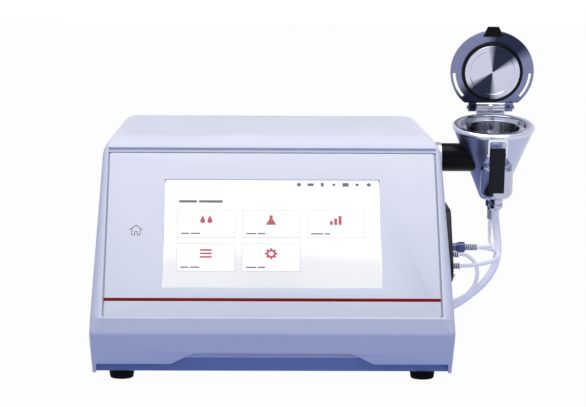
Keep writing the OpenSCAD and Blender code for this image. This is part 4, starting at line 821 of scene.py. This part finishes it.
def build_home_mark():
    """A house with a roof and a door, printed on the panel left of the screen."""
    middle, face = (-136.3, 119.4), -PANEL_IN
    roof = [(-6.2, 0.4), (0, 6.0), (6.2, 0.4)]
    walls = [(-4.1, 1.2), (-4.1, -5.6), (-1.3, -5.6), (-1.3, -1.8), (1.3, -1.8), (1.3, -5.6), (4.1, -5.6),
             (4.1, 1.2)]
    parts = stroke(roof, 0.9, middle, face - 0.1, face + 0.05)
    parts += stroke(walls, 0.7, middle, face - 0.1, face + 0.09)
    show("home_mark", parts, INK_DARK)


build_front()
build_picture()
build_home_mark()

# ---- feet ----


def build_feet():
    r = FOOT_D / 2
    profile = [(4.5, 3, 0), (4.5, 0.5, 0), (5, 0, 0), (r - 1.1, 0, 1.8), (r, FOOT_H - 0.6, 0.5),
               (r - 0.4, FOOT_H, 0), (2, FOOT_H, 0), (2, 3, 0)]
    feet = [spun(profile, at(x, y, 0), 0.5, 64, closed=True) for x, y in FEET]
    show("feet", feet, RUBBER, "rubber_feet")


build_feet()

# ---- what repeats: made by Geometry Nodes ----


class Tree(Graph):
    """A Geometry Nodes tree under construction, with named inputs."""

    def __init__(self, name, **inputs):
        super().__init__(bpy.data.node_groups.new(name, "GeometryNodeTree"))
        face = self.tree.interface
        face.new_socket("Geometry", in_out="OUTPUT", socket_type="NodeSocketGeometry")
        kinds = {int: "NodeSocketInt", float: "NodeSocketFloat"}
        self.identifiers = {}
        for key, value in inputs.items():
            socket = face.new_socket(key.replace("_", " "), in_out="INPUT", socket_type=kinds[type(value)])
            socket.default_value = value
            self.identifiers[key] = socket.identifier
        self.given = self.node("NodeGroupInput").outputs

    def close(self, geometry, material):
        whole = self.first("GeometryNodeRealizeInstances", {"Geometry": geometry})
        coloured = self.first("GeometryNodeSetMaterial", {"Geometry": whole, "Material": material})
        self.node("NodeGroupOutput", {0: coloured})

    def run(self, place=AROUND, **values):
        """The tree's result as a plain mesh, its millimetres brought to metres at its place."""
        holder = bpy.data.objects.new("holder", bpy.data.meshes.new("holder"))
        scene.collection.objects.link(holder)
        modifier = holder.modifiers.new("tree", "NODES")
        modifier.node_group = self.tree
        for key, value in values.items():
            modifier[self.identifiers[key]] = value
        mesh = settled(holder)
        mesh.transform(Matrix.Diagonal((MM, MM, MM, 1)) @ place)
        return mesh


def spring_tree():
    """A wire wound round a tube."""
    tree = Tree("guard_spring", Turns=6.0, Length=13.0, Coil_radius=2.9, Wire_radius=0.5)
    given = tree.given
    rise = tree.math("SUBTRACT", given["Length"], tree.math("MULTIPLY", given["Wire radius"], 2.0))
    spiral = tree.first("GeometryNodeCurveSpiral", {
        "Rotations": given["Turns"], "Start Radius": given["Coil radius"], "End Radius": given["Coil radius"],
        "Height": rise, "Resolution": 28})
    wire = tree.first("GeometryNodeCurvePrimitiveCircle", {"Radius": given["Wire radius"], "Resolution": 10})
    swept = tree.first("GeometryNodeCurveToMesh", {"Curve": spiral, "Profile Curve": wire, "Fill Caps": True})
    moved = tree.first("GeometryNodeTransform", {"Geometry": swept, "Translation": (0, 0, 0.5)})
    tree.close(moved, SPRING_STEEL)
    return tree


def ridge_tree():
    """Short bars set round a drum, as on a knurled nut."""
    tree = Tree("ridges", Count=24, Drum_radius=5.2, Ridge_width=0.7, Ridge_height=0.8, Ridge_length=6.0)
    given = tree.given
    ring = tree.first("GeometryNodeMeshCircle", {"Vertices": given["Count"], "Radius": given["Drum radius"]})
    size = tree.first("ShaderNodeCombineXYZ", {"X": given["Ridge height"], "Y": given["Ridge width"],
                                               "Z": given["Ridge length"]})
    ridge = tree.first("GeometryNodeMeshCube", {"Size": size})
    out = tree.first("GeometryNodeInputPosition")
    turn = tree.first("FunctionNodeAlignRotationToVector", {"Vector": out}, axis="X")
    whole = tree.first("GeometryNodeInstanceOnPoints", {"Points": ring, "Instance": ridge, "Rotation": turn})
    tree.close(whole, BLUE_METAL)
    return tree


SPRING = spring_tree()
RIDGES = ridge_tree()

# ---- funnel head ----


def cone_cutter(out=0.0, steps=96, slant=2):
    """The cone's outside, to cut away what would lie in it."""
    return lathe([(0, 3), (RIM_R - slant, 3), (RIM_R + out, -1.8), (RIM_R + out, -4),
                  (RIM_R - 1.5 + out / 2, -5.5), (TIP_R + out / 2, -CONE_L), (0, -CONE_L)],
                 ON_FUNNEL, steps)


def jet_bore(radius, start, length):
    return rod(radius, start, length, ON_FUNNEL @ at(0, CUP_R, JET_Z) @ ALONG_Y, 0, 32)


def build_cone():
    outer = [(TIP_R - 1, -CONE_L, 0), (TIP_R, -CONE_L + 1.2, 0.6), (RIM_R - 1.5, -5.5, 0.6), (RIM_R, -4, 0.8),
             (RIM_R, -1.8, 0.5), (RIM_R - 2, 0, 0.4), (MOUTH_R + 0.6, 0, 0.4), (MOUTH_R, -0.6, 0.3),
             (MOUTH_R, -5, 0.2), (CUP_R + 1.3, -5, 0.2), (CUP_R + 1.3, -36, 0.3), (CUP_R - 5, -38, 0.3),
             (4, -70, 0), (2.5, -70, 0), (2.5, -CONE_L, 0)]
    cone = carved(spun(outer, ON_FUNNEL, 0.4, 128, closed=True), jet_bore(2.4, 0, 8))
    piece = show("funnel_cone", cone, CONE_STEEL, "funnel_body")
    piece.data.materials.append(RIM_STEEL)
    back = (HOME @ ON_FUNNEL).inverted()
    for face in piece.data.polygons:
        if (back @ (face.center / MM)).z > -5.3:
            face.material_index = 1


def build_cup():
    seat, wall, deep = -5, 1, 30
    outer, ledge, floor = CUP_R + wall, MOUTH_R - 0.3, seat - deep
    profile = [(CUP_R, seat + 1.5, 0.6), (ledge, seat + 1.5, 0.3), (ledge, seat, 0.2), (outer, seat, 0.3),
               (outer, floor, 3), (CUP_R - 6, floor, 0.2), (CUP_R - 6, floor + wall, 0.2),
               (CUP_R, floor + wall, 3)]
    cup = spun(profile, ON_FUNNEL, 0.4, 128, 5, True)
    show("cup", carved(cup, jet_bore(2.7, -4, 10)), CHROME, "funnel_cup")
    jet = spun([(1, 0), (3.1, 0), (3.1, 0.9), (2.4, 0.9), (2.4, 9), (1, 9)],
               ON_FUNNEL @ at(0, CUP_R - 2, JET_Z) @ ALONG_Y, 0.25, 32, 3, True)
    show("rinse_nozzle", jet, DARK_GREY, "rinse_jet")


def build_hinge():
    half = HINGE_HALF
    block = bar((-half, HINGE_BACK - 5, 0), (half, HINGE_BACK + 3, HINGE_UP), ON_FUNNEL, 0.8)
    drum = rod(HINGE_R, -half, 2 * half, HINGE_LINE, 0.6)
    hole = rod(2.0, -half - 2, 2 * half + 4, HINGE_LINE, 0)
    gap = bar((-2, HINGE_BACK - 10, HINGE_UP - 3), (2, HINGE_BACK + 10, HINGE_UP + 10), ON_FUNNEL, 0)
    knuckles = carved(carved(block, drum, operation="UNION"), hole, gap)
    show("hinge_block", knuckles, SATIN, "hinge_bracket")
    reach = half + 9.5
    pin = spun([(0, -reach - 1), (3, -reach - 1), (3, -reach), (2, -reach), (2, reach), (3, reach),
                (3, reach + 1), (0, reach + 1)], HINGE_LINE, 0.5, 40)
    show("pin", pin, CHROME, "hinge_pin")


def lid_knuckle(x0):
    knuckle = rod(HINGE_R, x0, 8, HINGE_LINE, 0.6)
    arm = bar((x0, 33, HINGE_UP), (x0 + 8, 37, HINGE_UP + 8), ON_FUNNEL, 0.3)
    web = bar((x0 + 0.05, 33.05, HINGE_UP + 0.05), (x0 + 7.95, 42, HINGE_UP + 3), ON_FUNNEL, 0.3)
    return carved(carved(knuckle, arm, web, operation="UNION"), rod(2.05, x0 - 1, 10, HINGE_LINE, 0))


def tab_outline(gap):
    wide, low, narrow = 10.9 + gap, LID_R - 5.9 - gap, 5.9 + gap
    return [(-wide, low), (wide, low), (narrow, TAB_TOP), (-narrow, TAB_TOP)]


def build_lid():
    plate = spun([(0, -LID_T), (LID_R, -LID_T, 1), (LID_R, 0, 0.7), (0, 0)], ON_LID, 0.7, 160)
    cuts = [bar((-LID_R, -LID_R - 2, -LID_T - 2), (LID_R, -LID_FLAT, 2), ON_LID, 0)]
    for start, end in ((182, 222), (318, 358)):
        outline = arc((0, 0), LID_R - 2.5, start, end, 16) + arc((0, 0), LID_R - 5.5, end, start, 16)
        cuts.append(prism(outline, -LID_T - 1, 1, ON_LID))
    cuts.append(prism(tab_outline(0.1), -LID_T - 1, 1, ON_LID))
    plate = softened(carved(plate, *cuts), 0.35, 2, 40)
    show("lid_plate", [plate, lid_knuckle(-23.5), lid_knuckle(15.5)], LID_PLATE, "lid",
         "lid")
    plug = [(0, 0.02), (31.5, 0.02, 0.2), (31.5, 0.6, 0.2), (29.4, 0.6, 0.2), (29.4, 2.7, 0.4),
            (28.6, 3.5, 0.4), (24, 3.5, 0.3), (23, 2.5, 0.3), (1.5, 2.3, 0.3), (0, 2.2)]
    show("plug_disc", spun(plug, ON_LID, 0.3, 160), LID_STEEL, "lid_plug", "lid")
    ring = arc((30.8, 2.1), 1.5, 0, 337.5, 15)
    show("seal_ring", lathe(ring, ON_LID, 128, True), SEAL, "lid_seal", "lid")
    show("strike_tab", prism(tab_outline(0), -LID_T, 0, ON_LID, 0.5), GLOSS_BLACK, "lid_strike",
         "lid")


def build_arm():
    r, end = ARM_D / 2, HALF_W - 2.7
    tube = rod(r, ARM_START, FUNNEL[0] - 8 - ARM_START, ARM_LINE, 0.4, 96)
    bore = rod(r - 3, ARM_START - 2, FUNNEL[0] - RIM_R - ARM_START + 2, ARM_LINE, 0, 64)
    show("arm", carved(tube, cone_cutter(0.2), bore), GLOSS_BLACK, "arm_tube")
    collar = spun([(r + 0.02, 160), (r + 0.9, 160), (r + 0.9, end, 0.6), (r + 0.02, end, 0.2)],
                  ARM_LINE, 0.2, 96, closed=True)
    show("collar", carved(collar, housing_skin(-0.02, FOOT_H)), SATIN, "arm_collar")


build_cone()
build_cup()
build_hinge()
build_lid()
build_arm()

# ---- latch ----

LEVER_FRONT, LEVER_BACK = LATCH_Y - 5, LATCH_Y - 3.5
BAIL_EYE = (LATCH_Y - 1, LATCH_Z - 5)
EYE_LINE = ON_FUNNEL @ at(0, *BAIL_EYE) @ ALONG_X


def build_lever():
    front, back = LEVER_FRONT, LEVER_BACK
    top = LATCH_Z + 4
    low = top - LEVER_L
    half, inner = LEVER_W / 2, LEVER_W / 2 - 1.6
    outline = [(-half, low), (half, low), (half, top - 5.5), (inner, top - 4.2), (inner, top), (-inner, top),
               (-inner, top - 4.2), (-half, top - 5.5)]
    parts = [prism(filleted(outline, 1.0, 4, True), -back, -front, ON_FUNNEL @ UPRIGHT, 0.35)]
    flange = [(front + 0.7, low + 0.6), (back + 1.8, low + 0.6), (back + 1.8, LATCH_Z - 9),
              (LATCH_Y + 1.4, LATCH_Z - 7.5), (LATCH_Y + 2.9, LATCH_Z), (LATCH_Y + 1, LATCH_Z + 3),
              (front + 0.7, LATCH_Z + 3)]
    for x0 in (-half, inner):
        cheek = prism(filleted(flange, 1.2, 4, True), x0 + 0.02, x0 + 1.58, ON_FUNNEL @ SIDEWAYS, 0.25)
        parts.append(carved(cheek, rod(1.55, x0 - 1, 4, LATCH_LINE, 0), rod(1.25, x0 - 1, 4, EYE_LINE, 0)))
    show("lever", parts, BLACK, "latch_lever", "latch_lever")
    show("lever_pin", rod(1.5, -half - 0.2, LEVER_W + 0.4, LATCH_LINE, 0.3, 32), CHROME, "latch_pin")


def build_bail():
    """A flat wire bent to a loop over the lever, its two eyes on studs."""
    half, thick = 10.3, 2.0
    y, z = BAIL_EYE
    outer = filleted([(-half, z), (-half, -1, 4.5), (half, -1, 4.5), (half, z)], 4.5, 8)
    inner = filleted([(-half + thick, z), (-half + thick, -4.6, 2.6), (half - thick, -4.6, 2.6),
                      (half - thick, z)], 2.6, 8)
    parts = [prism(outer + inner[::-1], -LEVER_FRONT - 2.4, -LEVER_FRONT + 0.5, ON_FUNNEL @ UPRIGHT, 0.5)]
    for x0, stud in ((-half, -half - 0.6), (half - thick, 5)):
        parts.append(rod(2.6, x0 + 0.02, thick - 0.04, EYE_LINE, 0.4))
        parts.append(rod(1.2, stud, half - 4.4, EYE_LINE, 0.3))
        parts.append(bar((x0 + 0.03, LEVER_FRONT + 2, z + 0.2), (x0 + thick - 0.03, y + 2.2, z + 3),
                         ON_FUNNEL, 0.3))
    show("bail", parts, CHROME, "latch_bail", "latch_bail")


def build_latch_bracket():
    block = bar((-6, LATCH_Y, LATCH_Z - 3.2), (6, -24, LATCH_Z + 3.2), ON_FUNNEL, 0.4)
    block = carved(block, rod(3.2, -6, 12, LATCH_LINE, 0.3), operation="UNION")
    show("lever_bracket", carved(block, cone_cutter(), rod(1.5, -9, 18, LATCH_LINE, 0)), SATIN,
         "latch_bracket")


build_lever()
build_bail()
build_latch_bracket()

# ---- drain and outlets ----


def build_drain():
    r, low, neck = 17, -35.5, 7.5
    profile = [(0, 0), (r - 4.2, 0, 0.5), (r - 3.4, -0.8, 0.5), (r - 1.4, -1.4, 0.6), (r, -4, 1.5),
               (r, low + 5, 2.5), (r - 2, low + 1.6, 1.5), (r - 4.6, low, 1), (neck, low, 0.3),
               (neck, low - 5, 0.4), (neck - 1.5, low - 5, 0.2), (neck - 1.5, low - 7.5, 0.2),
               (neck, low - 7.5, 0.6), (neck, low - 11, 1.5), (neck - 2.5, low - 14, 0.6), (0, low - 14)]
    drum = spun(profile, ON_DRAIN, 0.5, 128, 5)
    drum = carved(drum, cone_cutter(steps=128, slant=0))
    show("drain_drum", drum, DRAIN_STEEL, "drain_block")
    step, end = -CONE_L - 9.5, -CONE_L - 13.5
    profile = [(0, -CONE_L), (5.5, -CONE_L, 0.5), (5.5, step, 0.8), (3.6, step, 0.2), (3.6, end, 0.5),
               (0, end)]
    show("outlet", spun(profile, ON_FUNNEL, 0.4, 64), BLUE_METAL, "outlet_fitting")
    spring = SPRING.run(ON_FUNNEL @ at(0, 0, end) @ Matrix.Rotation(pi, 4, "X"), Turns=5.0, Length=11.0)
    show("outlet_spring", spring, SPRING_STEEL, "outlet_spring_guard", sharp=60)


build_drain()

# ---- ports on the right side ----


def build_ports():
    outer = prism(plate_outline(0, PLATE_ROUND), HALF_W - 12, PLATE_X, SIDEWAYS, 1.0, 3)
    bores = [side_bore(STEM_R + 0.02, y, z, steps=40) for y, z in [(INLET_Y, INLET_Z)] + PORTS]
    show("side_plate", carved(outer, housing_skin(0.0, FOOT_H), *bores), BLACK, "port_plate")
    r, foot, end = STEM_R, PLATE_X - 0.5, NUT_X + NUT_L
    stem = [(0, STEM_X), (r, STEM_X, 0), (r, foot, 0)]
    inlet = stem + [(4, foot, 0.2), (4, NUT_X - 1, 0.4), (r, NUT_X - 1, 0), (r, end, 0.3), (0, end)]
    here = at(0, INLET_Y, INLET_Z) @ ALONG_X
    show("inlet_stem", spun(inlet, here, 0.3), BLUE_METAL, "inlet_fitting")
    build_nut(here)
    x = PLATE_X
    port = stem + [(4.6, foot, 0.2), (4.6, x + 1.4, 0.4), (3.6, x + 1.6, 0.2), (3.6, x + 4.5, 0.4),
                   (r, x + 4.5, 0), (r, x + 6, 0.2), (0, x + 6)]
    small = [spun(port, at(0, y, z) @ ALONG_X, 0.3) for y, z in PORTS]
    for (y, z), r in zip(LOW_PORTS, (6.5, 5.0)):
        start = half_width(y, z) - 0.4
        port = [(0, STEM_X), (4.7, STEM_X, 0), (4.7, start, 0), (r, start, 0.1), (r, 183, 0.5),
                (r - 1, 184, 0.3), (0, 184)]
        small.append(spun(port, at(0, y, z) @ ALONG_X, 0.3))
    show("side_ports", small, BLUE_METAL, "port_fittings")
    show("inlet_spring", SPRING.run(here @ at(0, 0, end), Turns=6.0, Length=13.0), SPRING_STEEL,
         "inlet_spring_guard", sharp=60)
    springs = [SPRING.run(at(x + 6, y, z) @ ALONG_X, Turns=3.0, Length=7.0) for y, z in PORTS]
    show("port_springs", springs, SPRING_STEEL, "port_spring_guards", sharp=60)


def build_nut(here):
    r, x, end = NUT_R, NUT_X, NUT_X + NUT_L
    profile = [(3.06, x - 0.7, 0), (r - 0.9, x - 0.7, 0.3), (r - 0.9, x + 1.2, 0.2), (r - 0.35, x + 1.5, 0.3),
               (r - 0.35, end - 0.8, 0.3), (r - 1.2, end - 0.1, 0.3), (3.06, end - 0.1, 0)]
    drum = spun(profile, here, 0.3, 72, 3, True)
    ridges = RIDGES.run(here @ at(0, 0, x + 4.6), Count=24, Drum_radius=r - 0.5, Ridge_width=0.65,
                        Ridge_height=0.9, Ridge_length=5.4)
    show("nut", [drum, ridges], BLUE_METAL, "inlet_nut", "inlet_nut")


build_ports()

# ---- CAD nodes that keep their own shape ----

dress(PAN, "base_pan")
dress(REAR_PAINT, "rear_panel", "socket_plate", "pump_bracket")
dress(ALUMINIUM, "lcd_module", "power_supply", "heat_sink", "cell_block", "arm_bracket")
dress(BOARD, "display_board", "main_board")
dress(SATIN, "machine_screws", "data_ports")
dress(BLACK, "mains_inlet", "power_switch", "fan_rotor")
dress(DARK_GREY, "power_rocker", "fan_frame", "cell_lid", "pump_motor", "pump_rotor")
dress(CHROME, "fan_guard")
dress(BRASS, "board_standoffs")
dress(CERAMIC, "peltier_pair", "pump_head")
dress(CELL_GLASS, "u_tube")
dress(CLEAR_TUBE_PAINTED_GLOW, "internal_tubes")

# ---- floor, sky and lamps ----

WHITE = (1, 1, 1, 1)
FLOOR_HALF, FLOOR_TONE, FLOOR_SHARE = 6, tone(152, 166, 220), 0.975
SKY_FILL, SKY_POWER = (0.68, 0.76, 1.0, 1), 0.43
MIRROR_STOPS = [(0.0, 0.85), (0.36, 1.0), (0.42, 0.9), (0.465, 0.16), (0.53, 0.12), (0.57, 0.9), (0.62, 1.0),
                (0.88, 0.9), (0.95, 0.4), (1.0, 0.3)]


def build_stage():
    """A floor that takes shadows, and is white to the camera and in mirrors."""
    mesh, h = bpy.data.meshes.new("floor"), FLOOR_HALF
    mesh.from_pydata([(-h, -h, 0), (h, -h, 0), (h, h, 0), (-h, h, 0)], [], [(0, 1, 2, 3)])
    ground = bpy.data.objects.new("floor", mesh)
    scene.collection.objects.link(ground)
    paint = bpy.data.materials.new("floor_paint")
    paint.use_nodes = True
    graph = Graph(paint.node_tree)
    path = graph.node("ShaderNodeLightPath").outputs
    seen = graph.math("MAXIMUM", path["Is Camera Ray"], path["Is Glossy Ray"])
    share = graph.math("MULTIPLY", seen, FLOOR_SHARE)
    lit = graph.first("ShaderNodeBsdfDiffuse", {0: FLOOR_TONE})
    bare = graph.first("ShaderNodeEmission", {0: WHITE, 1: 1.0})
    mixed = graph.first("ShaderNodeMixShader", {0: share, 1: lit, 2: bare})
    graph.node("ShaderNodeOutputMaterial", {0: mixed})
    mesh.materials.append(paint)


def build_sky():
    """A pale sky that lights the object. The camera sees white, and metal mirrors a white room with one dark
    strip in front and dark low corners."""
    scene.world = bpy.data.worlds.new("studio")
    scene.world.use_nodes = True
    graph = Graph(scene.world.node_tree)
    path = graph.node("ShaderNodeLightPath").outputs
    shown = graph.math("MAXIMUM", path["Is Camera Ray"], path["Is Transmission Ray"])
    fill = graph.first("ShaderNodeBackground", {0: SKY_FILL, 1: SKY_POWER})
    white = graph.first("ShaderNodeBackground", {0: WHITE})
    sky = graph.first("ShaderNodeMixShader", {0: shown, 1: fill, 2: white})
    spot = graph.node("ShaderNodeTexCoord").outputs["Generated"]
    across = graph.math("MULTIPLY_ADD", graph.first("ShaderNodeSeparateXYZ", {0: spot}), 0.5, 0.5)
    ramp = graph.node("ShaderNodeValToRGB", {0: across})
    elements = ramp.color_ramp.elements
    elements[0].position, elements[1].position = MIRROR_STOPS[0][0], MIRROR_STOPS[-1][0]
    for position, _ in MIRROR_STOPS[1:-1]:
        elements.new(position)
    for element, (_, level) in zip(sorted(elements, key=lambda e: e.position), MIRROR_STOPS):
        element.color = (level * 0.96, level * 0.97, level, 1)
    mirror = graph.first("ShaderNodeBackground", {0: ramp.outputs[0]})
    whole = graph.first("ShaderNodeMixShader", {0: path["Is Glossy Ray"], 1: sky, 2: mirror})
    graph.node("ShaderNodeOutputWorld", {0: whole})


def lamp(name, place, aim, size, power, colour):
    light = bpy.data.lights.new(name, "AREA")
    light.shape = "RECTANGLE"
    light.size, light.size_y = size
    light.energy = power
    light.color = colour
    holder = bpy.data.objects.new(name, light)
    scene.collection.objects.link(holder)
    holder.location = place
    holder.rotation_euler = (Vector(aim) - Vector(place)).to_track_quat("-Z", "Y").to_euler()


build_stage()
build_sky()
lamp("overhead", (0.0, -0.25, 1.9), (0, 0, 0.15), (1.8, 1.5), 29, (1, 0.985, 0.965))
lamp("front_fill", (0.3, -2.2, 1.5), (0, 0, 0.12), (1.6, 1.2), 1.4, (0.92, 0.95, 1))

scene.view_settings.view_transform = "Standard"
